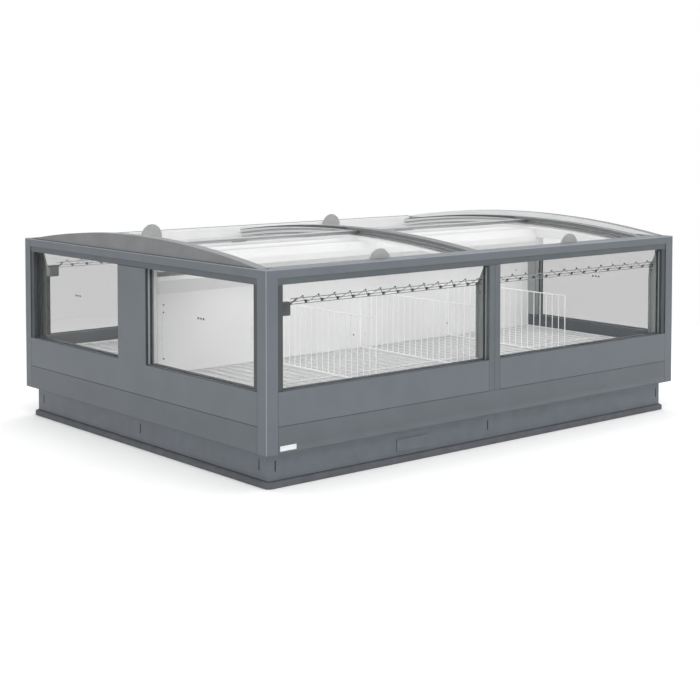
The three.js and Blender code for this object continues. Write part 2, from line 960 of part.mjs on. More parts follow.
// Wire guards: a flat truss leaning against the inner side of each long window
function guard(x0, x1) {
  const count = Math.round((x1 - x0) / guardPitch) * 2;
  const half = guardWire / 2;
  const gaps = [];
  const low = guardWire;
  const high = guardHeight - guardWire;
  const first = x0 + guardWire;
  const step = (x1 - x0 - 2 * guardWire) / count;
  const side = half * Math.hypot(step, high - low) / (high - low);
  const trim = side * (high - low) / step;
  for (let i = 0; i < count; i++) {
    const a = first + i * step;
    const b = a + step;
    const rising = i % 2 === 0;
    const under = rising
      ? [[a + side, low], [b, low], [b, high - trim]]
      : [[a, low], [b - side, low], [a, high - trim]];
    gaps.push(outline(under));
    const over = rising
      ? [[a, low + trim], [b - side, high], [a, high]]
      : [[b, low + trim], [b, high], [a + side, high]];
    gaps.push(outline(over));
  }
  const flat = pierce(alongY, rectangle(x0, x1, 0, guardHeight), gaps, -half, half);
  const foot = windowTop - guardDrop - guardHeight;
  return flat.rotateX(-guardTilt).translate(0, halfDepth - guardSetback, foot);
}

for (const [side, sideY] of sides)
  for (const [end, sideX] of ends) {
    const outer = jambX - uprightSheet - seat;
    const shorter = end === "left" ? sensorLength - uprightSheet : 0;
    const inner = mullionWidth / 2 + uprightSheet + seat;
    add(`wire_guard_${side}_${end}`, guard(inner, outer - shorter), whiteWire, sideX, sideY);
  }

// Evaporator under the grilles, with the fan motors on its casing
const plenumFloor = underside + tubFloor;
const casingUnder = ductBottom - casingTop;
const coilHalf = plenumX - coilEndGap;

function evaporator() {
  const half = coilHalf;
  const deep = coilDepth / 2;
  const count = Math.round((2 * half) / coilFinPitch);
  const pitch = (2 * half - coilFin) / count;
  const comb = [[-half, plenumFloor], [half, plenumFloor]];
  for (let i = count; i >= 0; i--) {
    const x = -half + i * pitch;
    const trayZ = plenumFloor + coilTray;
    const topZ = casingUnder + casingTop / 2;
    if (i < count) comb.push([x + coilFin, trayZ]);
    comb.push([x + coilFin, topZ], [x, topZ]);
    if (i > 0) comb.push([x, trayZ]);
  }
  const coil = alongY(outline(comb), -deep, deep);
  const top = box(-half, half, -deep, deep, casingUnder, ductBottom);
  const fanXs = [-fanSpacing / 2, fanSpacing / 2];
  const wells = fanXs.map((x) =>
    upright(fanRadius + fanFit, plenumFloor + coilTray, ductBottom + overrun).translate(x, 0, 0),
  );
  const motors = fanXs.flatMap((x) => [
    upright(motorRadius, ductBottom - motorHeight + motorArm, ductBottom + motorArm).translate(x, 0, 0),
    upright(shaftRadius, ductBottom, ductBottom + motorArm + shaftRise).translate(x, 0, 0),
    box(
      x - fanRadius - motorArm,
      x + fanRadius + motorArm,
      -motorArm / 2,
      motorArm / 2,
      casingUnder,
      ductBottom,
    ),
  ]);
  return join(cut(join(coil, top), ...wells), ...motors);
}

function fanRotor() {
  const bottom = ductBottom + motorArm + hubLift;
  const shaftTop = ductBottom + motorArm + shaftRise;
  const hub = cut(
    upright(hubRadius, bottom, bottom + hubHeight),
    upright(shaftRadius + seat, bottom - overrun, shaftTop + seat),
  );
  const span = fanRadius - hubRadius + bladeRoot;
  const blades = Array.from({ length: bladeCount }, (_, i) => {
    const blade = new THREE.BoxGeometry(span, bladeChord, bladeThickness);
    blade.rotateX(bladeAngle).translate(fanRadius - span / 2, 0, bottom + hubHeight / 2);
    return blade.rotateZ((i * 2 * Math.PI) / bladeCount);
  });
  return join(hub, ...blades);
}

add("evaporator", evaporator(), galvanised);
for (const [end, sideX] of ends) {
  const rotor = add(`fan_rotor_${end}`, fanRotor(), darkPlastic);
  rotor.position.x = (sideX * fanSpacing) / 2;
}

export default freezer;
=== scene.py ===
# Looks of a glazed island freezer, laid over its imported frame. Metres, +Z up, the front at -Y.
import math

import bpy
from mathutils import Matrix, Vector


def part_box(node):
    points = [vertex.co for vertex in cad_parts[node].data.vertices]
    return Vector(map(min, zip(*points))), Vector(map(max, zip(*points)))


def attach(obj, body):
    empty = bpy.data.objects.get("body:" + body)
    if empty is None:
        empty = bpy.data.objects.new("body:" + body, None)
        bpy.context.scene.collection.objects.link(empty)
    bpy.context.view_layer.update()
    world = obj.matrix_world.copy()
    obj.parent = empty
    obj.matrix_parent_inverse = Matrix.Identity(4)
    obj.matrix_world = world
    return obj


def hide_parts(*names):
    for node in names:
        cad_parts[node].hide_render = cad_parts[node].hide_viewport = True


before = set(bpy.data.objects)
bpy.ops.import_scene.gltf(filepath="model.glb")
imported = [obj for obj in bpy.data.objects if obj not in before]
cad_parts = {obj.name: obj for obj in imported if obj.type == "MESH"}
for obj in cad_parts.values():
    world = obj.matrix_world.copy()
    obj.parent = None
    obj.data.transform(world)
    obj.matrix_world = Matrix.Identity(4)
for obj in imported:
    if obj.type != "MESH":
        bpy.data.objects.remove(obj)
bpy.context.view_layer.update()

millimetre = 0.001
sides = [("front", -1), ("rear", 1)]
ends = [("left", -1), ("right", 1)]
corners = [(side, end, signX, signY) for side, signY in sides for end, signX in ends]
squarely = 0.9  # a face is square to an axis when its normal points along it by this much
exactly = 0.99
weldDistance = 0.02 * millimetre
screwAngle = 30  # degrees, under which the facets of a screw or a wire are shaded as round
wireAngle = 50


def titled(first, *parts):
    return first + "".join(part.title() for part in parts)


def within(value, span):  # on either side of the middle
    return span[0] < abs(value) < span[1]


# Handling of objects
def pickOnly(piece):
    for other in bpy.context.selected_objects:
        other.select_set(False)
    piece.select_set(True)
    bpy.context.view_layer.objects.active = piece


def settle(piece):  # its place goes into its mesh
    pickOnly(piece)
    bpy.ops.object.transform_apply(location=True, rotation=True, scale=True)


def applyAll(piece):
    pickOnly(piece)
    for modifier in list(piece.modifiers):
        bpy.ops.object.modifier_apply(modifier=modifier.name)


def tidyMesh(piece, flat=0.5):  # merges doubles, clears lines across flat faces, faces outward
    pickOnly(piece)
    bpy.ops.object.mode_set(mode="EDIT")
    bpy.ops.mesh.select_all(action="SELECT")
    bpy.ops.mesh.remove_doubles(threshold=weldDistance)
    if flat:
        bpy.ops.mesh.dissolve_limited(angle_limit=math.radians(flat))
    bpy.ops.mesh.select_all(action="SELECT")
    bpy.ops.mesh.normals_make_consistent(inside=False)
    bpy.ops.object.mode_set(mode="OBJECT")


def copyOf(node, name):
    piece = bpy.data.objects.new(name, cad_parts[node].data.copy())
    bpy.context.scene.collection.objects.link(piece)
    pickOnly(piece)
    bpy.ops.mesh.customdata_custom_splitnormals_clear()
    piece.data.materials.clear()
    tidyMesh(piece)
    return piece


def easeEdges(piece, width, segments=2, angle=30, edgePaint=-1):
    bevel = piece.modifiers.new("eased", "BEVEL")
    bevel.material = edgePaint
    bevel.width = width
    bevel.segments = segments
    bevel.limit_method = "ANGLE"
    bevel.angle_limit = math.radians(angle)
    bevel.use_clamp_overlap = True
    applyAll(piece)
    smooth(piece, angle)
    evenShading = piece.modifiers.new("evenShading", "WEIGHTED_NORMAL")  # broad faces stay flat
    evenShading.weight = 100
    evenShading.keep_sharp = True
    applyAll(piece)


def smooth(piece, angle=30):
    pickOnly(piece)
    bpy.ops.object.shade_smooth_by_angle(angle=math.radians(angle))


def easeGlass(piece, width, corner=60, soft=5):  # a ground edge; the sheet keeps its own normals
    bevel = piece.modifiers.new("ground", "BEVEL")
    bevel.width = width
    bevel.segments = 1
    bevel.limit_method = "ANGLE"
    bevel.angle_limit = math.radians(corner)
    applyAll(piece)
    smooth(piece, soft)


def coat(piece, *materials):
    for material in materials:
        piece.data.materials.append(material)
    return piece


def paintWhere(piece, material, chosen):
    coat(piece, material)
    index = len(piece.data.materials) - 1
    for face in piece.data.polygons:
        if chosen(face.center, face.normal):
            face.material_index = index


def selectFaces(piece, chosen):  # leaves the piece in edit mode with those faces picked
    pickOnly(piece)
    bpy.ops.object.mode_set(mode="EDIT")
    bpy.ops.mesh.select_all(action="DESELECT")
    bpy.ops.mesh.select_mode(type="FACE")
    bpy.ops.object.mode_set(mode="OBJECT")
    for face in piece.data.polygons:
        face.select = bool(chosen(face.center, face.normal))
    bpy.ops.object.mode_set(mode="EDIT")


def cutAcross(piece, chosen, axis, at):  # cuts the chosen faces at that place along an axis
    selectFaces(piece, chosen)
    normal = Vector((axis == "x", axis == "y", axis == "z"))
    bpy.ops.mesh.bisect(plane_co=normal * at, plane_no=normal)
    bpy.ops.object.mode_set(mode="OBJECT")


def addBlock(name, low, high):
    low, high = Vector(low), Vector(high)
    bpy.ops.mesh.primitive_cube_add(size=1, location=(low + high) / 2, scale=high - low)
    piece = bpy.context.object
    piece.name = name
    settle(piece)
    return piece


def addRod(name, start, end, radius, sidesRound=8):
    start, end = Vector(start), Vector(end)
    run = end - start
    turn = run.to_track_quat("Z", "Y").to_euler()
    bpy.ops.mesh.primitive_cylinder_add(
        vertices=sidesRound,
        radius=radius,
        depth=run.length,
        location=(start + end) / 2,
        rotation=turn,
    )
    piece = bpy.context.object
    piece.name = name
    settle(piece)
    return piece


def inRow(piece, count, step):
    row = piece.modifiers.new("row", "ARRAY")
    row.use_relative_offset = False
    row.use_constant_offset = True
    row.constant_offset_displace = step
    row.count = count
    applyAll(piece)
    return piece


def joined(name, pieces):
    pickOnly(pieces[0])
    for piece in pieces[1:]:
        piece.select_set(True)
    bpy.ops.object.join()
    whole = bpy.context.object
    whole.name = name
    return whole


def copiesAt(name, model, places):  # copies of a model, each with its own mesh, as one piece
    copies = []
    for place in places:
        copy = bpy.data.objects.new(name, model.data.copy())
        bpy.context.scene.collection.objects.link(copy)
        copy.location = place
        settle(copy)
        copies.append(copy)
    bpy.data.objects.remove(model)
    return joined(name, copies)


def turnedOver(piece, name, sideX, sideY):  # a copy on the other side of the middle
    other = bpy.data.objects.new(name, piece.data.copy())
    bpy.context.scene.collection.objects.link(other)
    other.scale = (sideX, sideY, 1)
    settle(other)
    tidyMesh(other, flat=0)
    return other


def finished(piece, slot, body, *nodes):
    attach(piece, body)
    if nodes:
        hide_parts(*nodes)


def atCorners(model, name, material, slot, node="", angle=0):  # a copy in each quarter
    coat(model, material)
    for side, end, signX, signY in corners:
        piece = turnedOver(model, titled(name, side, end), signX, signY)
        if angle:
            smooth(piece, angle)
        finished(piece, slot, "cabinet", *([f"{node}_{side}_{end}"] if node else []))
    bpy.data.objects.remove(model)


# Materials
patterns = {
    "patchDetail": 3.0,
    "patchRoughness": 0.55,
    "grainDetail": 2.0,
    "grainRoughness": 0.6,
    "ramp": (0.3, 0.7),
    "relief": 0.2,  # of the grain's size
}


def linearPart(part):
    return part / 12.92 if part <= 0.04045 else ((part + 0.055) / 1.055) ** 2.4


def colourOf(code):
    parts = [int(code[i:i + 2], 16) / 255 for i in (1, 3, 5)]
    return (*map(linearPart, parts), 1)


def perMillimetres(size):  # pattern scale for features of that many millimetres
    return 1 / (size * millimetre)


def addNode(tree, kind, settings=None, links=None):
    node = tree.nodes.new(kind)
    for key, value in (settings or {}).items():
        if isinstance(key, int) or key in node.inputs:
            node.inputs[key].default_value = value
        else:
            setattr(node, key, value)
    for key, source in (links or {}).items():
        tree.links.new(source, node.inputs[key])
    return node


def emptyMaterial(name):
    material = bpy.data.materials.new(name)
    material.use_nodes = True
    material.node_tree.nodes.clear()
    return material, material.node_tree


def surface(name, looks):
    material, tree = emptyMaterial(name)
    place = addNode(tree, "ShaderNodeTexCoord").outputs["Object"]
    if "grainStretch" in looks:
        place = addNode(
            tree, "ShaderNodeMapping", {"Scale": looks["grainStretch"]}, {"Vector": place}
        ).outputs["Vector"]
    patches = addNode(
        tree,
        "ShaderNodeTexNoise",
        {
            "Scale": perMillimetres(looks["patch"]),
            "Detail": patterns["patchDetail"],
            "Roughness": patterns["patchRoughness"],
        },
        {"Vector": place},
    )
    grain = addNode(
        tree,
        "ShaderNodeTexNoise",
        {
            "Scale": perMillimetres(looks["grain"]),
            "Detail": patterns["grainDetail"],
            "Roughness": patterns["grainRoughness"],
        },
        {"Vector": place},
    )
    tone = addNode(tree, "ShaderNodeValToRGB", {}, {"Fac": patches.outputs["Fac"]})
    for stop, at, colour in zip(tone.color_ramp.elements, patterns["ramp"], looks["colours"]):
        stop.position = at
        stop.color = colourOf(colour)
    gloss = addNode(
        tree,
        "ShaderNodeMapRange",
        {"To Min": looks["roughness"][0], "To Max": looks["roughness"][1]},
        {"Value": grain.outputs["Fac"]},
    )
    bump = addNode(
        tree,
        "ShaderNodeBump",
        {"Strength": looks["bump"], "Distance": looks["grain"] * millimetre * patterns["relief"]},
        {"Height": grain.outputs["Fac"]},
    )
    shader = addNode(
        tree,
        "ShaderNodeBsdfPrincipled",
        looks.get("shader", {}),
        {
            "Base Color": tone.outputs["Color"],
            "Roughness": gloss.outputs["Result"],
            "Normal": bump.outputs["Normal"],
        },
    )
    addNode(tree, "ShaderNodeOutputMaterial", {}, {"Surface": shader.outputs["BSDF"]})
    return material


def clearSheet(name, looks):  # lets lamp light through to what is behind it
    material, tree = emptyMaterial(name)
    place = addNode(tree, "ShaderNodeTexCoord").outputs["Object"]
    wipes = addNode(
        tree,
        "ShaderNodeTexNoise",
        {"Scale": perMillimetres(looks["patch"]), "Detail": patterns["grainDetail"]},
        {"Vector": place},
    )
    gloss = addNode(
        tree,
        "ShaderNodeMapRange",
        {"To Min": looks["roughness"][0], "To Max": looks["roughness"][1]},
        {"Value": wipes.outputs["Fac"]},
    )
    glass = addNode(
        tree,
        "ShaderNodeBsdfPrincipled",
        {"Base Color": colourOf(looks["tint"]), "Transmission Weight": 1.0, "IOR": looks["ior"]},
        {"Roughness": gloss.outputs["Result"]},
    )
    through = addNode(tree, "ShaderNodeBsdfTransparent", {"Color": colourOf(looks["shade"])})
    rays = addNode(tree, "ShaderNodeLightPath")
    either = addNode(
        tree,
        "ShaderNodeMixShader",
        {},
        {0: rays.outputs["Is Shadow Ray"], 1: glass.outputs["BSDF"], 2: through.outputs["BSDF"]},
    )
    addNode(tree, "ShaderNodeOutputMaterial", {}, {"Surface": either.outputs["Shader"]})
    return material


def stripedFlank(name, looks):  # the track's flank: a dark lip over a pale strip, painted light and shade by where the face sits
    material, tree = emptyMaterial(name)
    place = addNode(tree, "ShaderNodeTexCoord").outputs["Object"]
    flat = addNode(
        tree,
        "ShaderNodeVectorMath",
        {"operation": "MULTIPLY_ADD", 1: (0, 1, 1), 2: (0, 0, -looks["centreZ"])},
        {0: place},
    )
    radius = addNode(
        tree, "ShaderNodeVectorMath", {"operation": "LENGTH"}, {0: flat.outputs["Vector"]}
    ).outputs["Value"]
    depth = addNode(tree, "ShaderNodeSeparateXYZ", {}, {"Vector": place}).outputs["Y"]

    def figure(operation, settings, links):
        settings = {"operation": operation, **settings}
        return addNode(tree, "ShaderNodeMath", settings, links).outputs[0]

    rear = figure("GREATER_THAN", {1: 0.0}, {0: depth})
    level = figure("MULTIPLY_ADD", {1: looks["taper"], 2: looks["lipFrom"]}, {0: depth})
    underLip = figure("LESS_THAN", {}, {0: radius, 1: level})
    behind = figure("MULTIPLY", {}, {0: underLip, 1: rear})
    foot = figure("LESS_THAN", {1: looks["foot"]}, {0: radius})
    share = figure("MAXIMUM", {}, {0: behind, 1: foot})
    grain = addNode(
        tree,
        "ShaderNodeTexNoise",
        {"Scale": perMillimetres(looks["grain"]), "Detail": patterns["grainDetail"]},
        {"Vector": place},
    )
    lip = addNode(
        tree,
        "ShaderNodeMix",
        {"data_type": "RGBA", 6: colourOf(looks["lip"]), 7: colourOf(looks["rearLip"])},
        {0: rear},
    )
    tone = addNode(
        tree,
        "ShaderNodeMix",
        {"data_type": "RGBA", 7: colourOf(looks["strip"])},
        {0: share, 6: lip.outputs[2]},
    )
    bump = addNode(
        tree,
        "ShaderNodeBump",
        {"Strength": looks["bump"], "Distance": millimetre},
        {"Height": grain.outputs["Fac"]},
    )
    shader = addNode(
        tree,
        "ShaderNodeBsdfPrincipled",
        {"Roughness": looks["roughness"]},
        {"Base Color": tone.outputs[2], "Normal": bump.outputs["Normal"]},
    )
    addNode(tree, "ShaderNodeOutputMaterial", {}, {"Surface": shader.outputs["BSDF"]})
    return material


# PVC of the track's flank: a grey lip over a pale strip; behind the crown the lip is darker as
# painted shade, and the band under it and the flank's foot are pale as painted light
flankPaintedLightAndShade = stripedFlank("trackFlankPaintedLightAndShade", {
    "lip": "#787A7B", "rearLip": "#56595B", "strip": "#DEDFDF", "grain": 5,
    "roughness": 0.5, "bump": 0.08,
    "centreZ": -5.457, "foot": 6.3645, "lipFrom": 6.3860, "taper": 0.012,
})
# Powder-coated steel, sprayed and baked: a satin blue grey with a soft orange peel
powderCoat = surface("powderCoatedSteel", {
    "colours": ["#5C6268", "#61676D"], "patch": 160, "grain": 6,
    "roughness": (0.44, 0.54), "bump": 0.10,
})
# The same paint a shade deeper, on the skirts and mullions
deepCoat = surface("powderCoatedDeep", {
    "colours": ["#555B60", "#5A6066"], "patch": 160, "grain": 6,
    "roughness": (0.44, 0.54), "bump": 0.10,
})
# Powder coat, lighter as a painted highlight along the rounded corners, where they catch the light
paintedHighlightCoat = surface("powderCoatPaintedHighlight", {
    "colours": ["#7E848A", "#868C92"], "patch": 60, "grain": 6,
    "roughness": (0.34, 0.44), "bump": 0.08,
})
# The same paint, darker and duller as painted shade in the recessed band under the rails; on the
# tub it is the sill's own dark grey paint
sillPaintAndGrooveShade = surface("powderCoatSillAndGrooveShade", {
    "colours": ["#4C5257", "#52585D"], "patch": 120, "grain": 6,
    "roughness": (0.50, 0.62), "bump": 0.10,
})
# The same paint, darkened as painted shade down in the window recess
jambShadeCoat = surface("powderCoatRecessShade", {
    "colours": ["#3A3F43", "#41464A"], "patch": 120, "grain": 6,
    "roughness": (0.50, 0.62), "bump": 0.10,
})
# Powder-coated steel of the plinth, a shade deeper, scuffed by shoes
plinthCoat = surface("powderCoatedPlinth", {
    "colours": ["#5C6268", "#636970"], "patch": 70, "grain": 6,
    "roughness": (0.46, 0.62), "bump": 0.12,
})
# Moulded ABS caps over the arch ends: a warmer neutral grey, finely spark-eroded
mouldedCap = surface("mouldedCapAbs", {
    "colours": ["#6B6D6F", "#757678"], "patch": 90, "grain": 3,
    "roughness": (0.42, 0.52), "bump": 0.10,
})
# Extruded PVC tracks: dull grey with lines along the pull
extrudedTrack = surface("extrudedTrackPvc", {
    "colours": ["#7A7C7D", "#868888"], "patch": 60, "grain": 4,
    "roughness": (0.45, 0.58), "bump": 0.18,
    "grainStretch": (1.0, 0.06, 0.06),
})
# Light grey coated steel of the folded uprights
foldedSteel = surface("coatedUprightSteel", {
    "colours": ["#979D9C", "#A0A6A4"], "patch": 110, "grain": 5,
    "roughness": (0.40, 0.50), "bump": 0.08,
})
# Enamelled steel sheet of the air duct: clean white, a broad gloss, and a faint emission as painted
# light that brightens the well
whiteEnamelPaintedGlow = surface("whiteEnamelWithPaintedGlow", {
    "colours": ["#ECECEC", "#F3F3F3"], "patch": 240, "grain": 9,
    "roughness": (0.26, 0.34), "bump": 0.06,
    "shader": {"Emission Color": (1, 1, 1, 1), "Emission Strength": 0.12},
})
# Enamelled sheet of the cover over the duct: a satin white, a shade under the walls to hold back
# its lit top, with a faint emission as painted light on its shaded sides
coverEnamelPaintedGlow = surface("satinEnamelWithPaintedGlow", {
    "colours": ["#D2D3D3", "#DADBDB"], "patch": 160, "grain": 8,
    "roughness": (0.34, 0.44), "bump": 0.08,
    "shader": {"Emission Color": (1, 1, 1, 1), "Emission Strength": 0.08},
})
# Enamelled sheet under the grilles, greyed as painted shade on the floor of the well
deckShadeEnamel = surface("enamelWithPaintedDeckShade", {
    "colours": ["#C2C3C3", "#CBCCCC"], "patch": 90, "grain": 7,
    "roughness": (0.36, 0.48), "bump": 0.10,
})
# Vacuum-formed liner: white, matt, a little uneven from the mould
formedLiner = surface("formedLinerPolystyrene", {
    "colours": ["#EEEEEE", "#F5F5F5"], "patch": 180, "grain": 7,
    "roughness": (0.38, 0.50), "bump": 0.12,
})
# Steel wire dipped in white polyethylene: thick and glossy, with slow runs in the coat
dippedWire = surface("dippedWhiteWire", {
    "colours": ["#F0F1F1", "#F8F8F8"], "patch": 40, "grain": 8,
    "roughness": (0.22, 0.34), "bump": 0.10,
})
# The same coat on the fine bars of the dividers, with a faint emission as painted light
fineWirePaintedGlow = surface("dippedFineWireWithPaintedGlow", {
    "colours": ["#F8F9F9", "#FEFEFE"], "patch": 40, "grain": 8,
    "roughness": (0.22, 0.34), "bump": 0.10,
    "shader": {"Emission Color": (1, 1, 1, 1), "Emission Strength": 0.22},
})
# Bright nickel-plated wire of the guards
platedWire = surface("platedGuardWire", {
    "colours": ["#B4B8BA", "#CBCED0"], "patch": 25, "grain": 6,
    "roughness": (0.18, 0.30), "bump": 0.06,
    "shader": {"Metallic": 1.0},
})
# Rubber bumper, extruded in the grey of the plinth: dull, with dust in the pores
bumperRubber = surface("extrudedBumperRubber", {
    "colours": ["#505358", "#5A5D62"], "patch": 60, "grain": 4,
    "roughness": (0.70, 0.86), "bump": 0.25,
})
# Dark moulded ABS of the spacers, lid stops and fan rotors; on the outer slice of each pier it is
# painted shade in the reveal
darkAbsAndRevealShade = surface("darkMouldedAbsAndRevealShade", {
    "colours": ["#35393D", "#3F4347"], "patch": 40, "grain": 3,
    "roughness": (0.46, 0.58), "bump": 0.12,
})
# The dark lip of a panel's edge: a thin film of sealant, with painted shadow in the seam
seamSealantAndShadow = surface("seamSealantAndShadow", {
    "colours": ["#33373B", "#3B3F43"], "patch": 40, "grain": 3,
    "roughness": (0.60, 0.75), "bump": 0.10,
})
# Moulded light grey PVC of the air outlet and the seals under the lids; the light strip on top of
# the rear rail is a painted reflection
lightPvcAndPaintedSheen = surface("mouldedLightPvcAndPaintedSheen", {
    "colours": ["#C4C6C6", "#CED0D0"], "patch": 60, "grain": 4,
    "roughness": (0.42, 0.54), "bump": 0.10,
})
# Black EPDM of the gaskets, soft lips and guard clips: matt, slightly chalky; in and behind the
# plinth's slots and along the bumper's top it is painted shade
blackRubberAndShade = surface("blackEpdmWithPaintedShade", {
    "colours": ["#232527", "#2B2D2F"], "patch": 30, "grain": 3,
    "roughness": (0.70, 0.85), "bump": 0.15,
})
# Blackened zinc of the small screws and the pane dots
blackScrew = surface("blackenedZinc", {
    "colours": ["#2C2E30", "#3A3C3E"], "patch": 8, "grain": 2,
    "roughness": (0.35, 0.50), "bump": 0.10,
    "shader": {"Metallic": 0.6},
})
# Bare label plate: satin aluminium foil, left blank
barePlate = surface("barePlateFoil", {
    "colours": ["#DADCDD", "#E4E6E6"], "patch": 20, "grain": 2,
    "roughness": (0.30, 0.42), "bump": 0.06,
})
# Hot-dip galvanised steel: cool grey with spangles the size of a thumbnail
galvanisedSteel = surface("galvanisedSteel", {
    "colours": ["#8E9497", "#A9AEB1"], "patch": 14, "grain": 5,
    "roughness": (0.34, 0.52), "bump": 0.10,
    "shader": {"Metallic": 0.9},
})
# Anodised aluminium of the lid bars, brushed along its length before the bath
anodisedBar = surface("anodisedAluminium", {
    "colours": ["#A7AAAC", "#B4B7B9"], "patch": 30, "grain": 3,
    "roughness": (0.28, 0.42), "bump": 0.10,
    "grainStretch": (0.05, 1.0, 1.0), "shader": {"Metallic": 1.0},
})
# Smoked polycarbonate of the lid handles: grey, half clear, softly frosted
smokedHandle = surface("smokedPolycarbonate", {
    "colours": ["#B9BAB9", "#C3C4C3"], "patch": 20, "grain": 4,
    "roughness": (0.30, 0.40), "bump": 0.08,
    "shader": {"Transmission Weight": 0.25, "IOR": 1.58},
})
# Toughened lid glass: clear, coated against reflections, with the faintest wipe marks
lidGlass = clearSheet("toughenedLidGlass", {
    "tint": "#F4F4F4", "shade": "#FCFCFC", "patch": 90,
    "roughness": (0.0, 0.03), "ior": 1.25,
})
# Double glazing of the sides: clear, coated against reflections, a trace greyer than the lids
sideGlass = clearSheet("doubleGlazing", {
    "tint": "#EFEFEF", "shade": "#FCFCFC", "patch": 120,
    "roughness": (0.0, 0.02), "ior": 1.13,
})
print("materials ready")

# Foot of the cabinet
plinthLooks = {
    "edge": 0.8 * millimetre,
    "edgeAngle": 50,
    "bumperEdge": 2.0 * millimetre,
    "bumperAngle": 35,
    "lipSlope": 0.3,
    "lipFrom": 0.0272,
    "slotInset": (0.064, 0.034),
    "slotBacking": (0.007, 0.0035, 0.0025),
    "slotSpan": (0.062, 0.114),
    "wallMiddle": 1.5 * millimetre,
    "wallNear": 1.0 * millimetre,
}
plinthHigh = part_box("plinth_ring")[1]


def isCorner(centre, normal, level=0.1, turned=0.5):  # the middle of a rounded edge
    across = sorted(abs(part) for part in normal)
    return across[0] < level and across[1] > turned


def isSlotWall(centre, normal):  # the cut edges of the slots and of the hatch opening
    offX = abs(plinthHigh.x - plinthLooks["wallMiddle"] - abs(centre.x))
    offY = abs(plinthHigh.y - plinthLooks["wallMiddle"] - abs(centre.y))
    square = max(abs(part) for part in normal) > exactly
    inSheet = min(offX, offY) < plinthLooks["wallNear"]
    return inSheet and square and within(centre.z, plinthLooks["slotSpan"])


def isBumperTop(centre, normal):
    return normal.z > plinthLooks["lipSlope"]


piece = coat(copyOf("plinth_ring", "plinthRing"), plinthCoat)
# painted shade on the cut edges of the slots and of the hatch opening
paintWhere(piece, blackRubberAndShade, isSlotWall)
easeEdges(piece, plinthLooks["edge"], angle=plinthLooks["edgeAngle"])
finished(piece, "plinth_paint", "cabinet", "plinth_ring")

half, deep, shallow = plinthLooks["slotBacking"]
insetY, insetX = plinthLooks["slotInset"]
z0, z1 = plinthLooks["slotSpan"]
backings = []
for place in (-1, 0, 1):  # painted shade: black blocks in the dark behind the slots
    for sign in (-1, 1):
        x = place * (plinthHigh.x - insetX)
        y0, y1 = sorted((sign * (plinthHigh.y - deep), sign * (plinthHigh.y - shallow)))
        backings.append(addBlock("backing", (x - half, y0, z0), (x + half, y1, z1)))
        y = place * (plinthHigh.y - insetY)
        x0, x1 = sorted((sign * (plinthHigh.x - deep), sign * (plinthHigh.x - shallow)))
        backings.append(addBlock("backing", (x0, y - half, z0), (x1, y + half, z1)))
piece = coat(joined("plinthSlotShade", backings), blackRubberAndShade)
finished(piece, "dark_plastic", "cabinet")

piece = coat(copyOf("bumper_ring", "bumperRing"), bumperRubber)
# painted shadow: a dark line along the bumper's top
cutAcross(piece, isBumperTop, "z", plinthLooks["lipFrom"])
paintWhere(piece, blackRubberAndShade, lambda c, n: isBumperTop(c, n) and c.z > plinthLooks["lipFrom"])
easeEdges(piece, plinthLooks["bumperEdge"], angle=plinthLooks["bumperAngle"])
finished(piece, "rubber_dark", "cabinet", "bumper_ring")

piece = coat(copyOf("service_hatch", "serviceHatch"), plinthCoat)
easeEdges(piece, plinthLooks["edge"])
finished(piece, "plinth_paint", "hatch", "service_hatch")
print("plinth ready")

# Panels, posts and rails
panelLooks = {
    "edge": 1.4 * millimetre,
    "railEdge": 1.0 * millimetre,
    "tubEdge": 3.0 * millimetre,
    "window": (0.398, 0.828),
    "bandTop": 0.8552,
    "pierEdges": (1.2352, 1.2535, 1.2865, 1.2990),
    "pierHalf": 0.1185,
    "uprights": ((0.035, 0.05), (1.20, 1.2175)),
    "uprightDeep": 0.986,
    "jambs": (((1.2119, 1.2401), (0.9645, 1.0012)), ((1.2595, 1.2962), (0.9169, 0.9451))),
    "sensor": ((1.139, 1.2079), (0.92, 0.965)),
    "sensorFrom": 0.6,
    "seamHalf": 2 * millimetre,
    "insideFrom": 0.84,
    "insideSlope": 0.5,
    "trimY": 0.956,
    "sheenFrom": 0.88,
    "tubSill": 0.337,
    "plateX": (-1.230, -1.147),
    "plateZ": (0.156, 0.177),
}
parts = ("front", "rear", "left", "right")


def isPier(centre, span):  # a slice of the pier between the end windows
    inside = within(centre.x, span) and abs(centre.y) < panelLooks["pierHalf"]
    return inside and centre.z > panelLooks["window"][0]


def isUpright(centre, normal):  # the folded plates beside the long windows
    beside = any(within(centre.x, span) for span in panelLooks["uprights"])
    level = within(centre.z, panelLooks["window"])
    return beside and level and abs(centre.y) < panelLooks["uprightDeep"]


def isJamb(centre, normal):  # the recessed strips between the posts and the panes
    beside = any(within(centre.x, x) and within(centre.y, y) for x, y in panelLooks["jambs"])
    return beside and within(centre.z, panelLooks["window"])


def isSensor(centre, normal):
    x, y = panelLooks["sensor"]
    return within(centre.x, x) and within(centre.y, y) and centre.z > panelLooks["sensorFrom"]


def isBand(centre, normal):  # the recessed band under a rail
    return centre.z < panelLooks["bandTop"] and abs(normal.z) < squarely


def isRailInside(centre, normal):  # the face towards the well carries a white trim
    inward = centre.x * normal.x + centre.y * normal.y < 0
    upright = abs(normal.z) < panelLooks["insideSlope"]
    return inward and upright and centre.z > panelLooks["insideFrom"]


def isPierSide(centre, normal):
    return abs(normal.y) > squarely and centre.z > panelLooks["window"][0]


def isSeam(centre, normal):  # in the middle of a mullion
    return isCorner(centre, normal) and abs(centre.x) < panelLooks["seamHalf"]


def isFront(centre, normal):
    return normal.y < -squarely


def isLevel(centre, normal):
    return normal.z > squarely


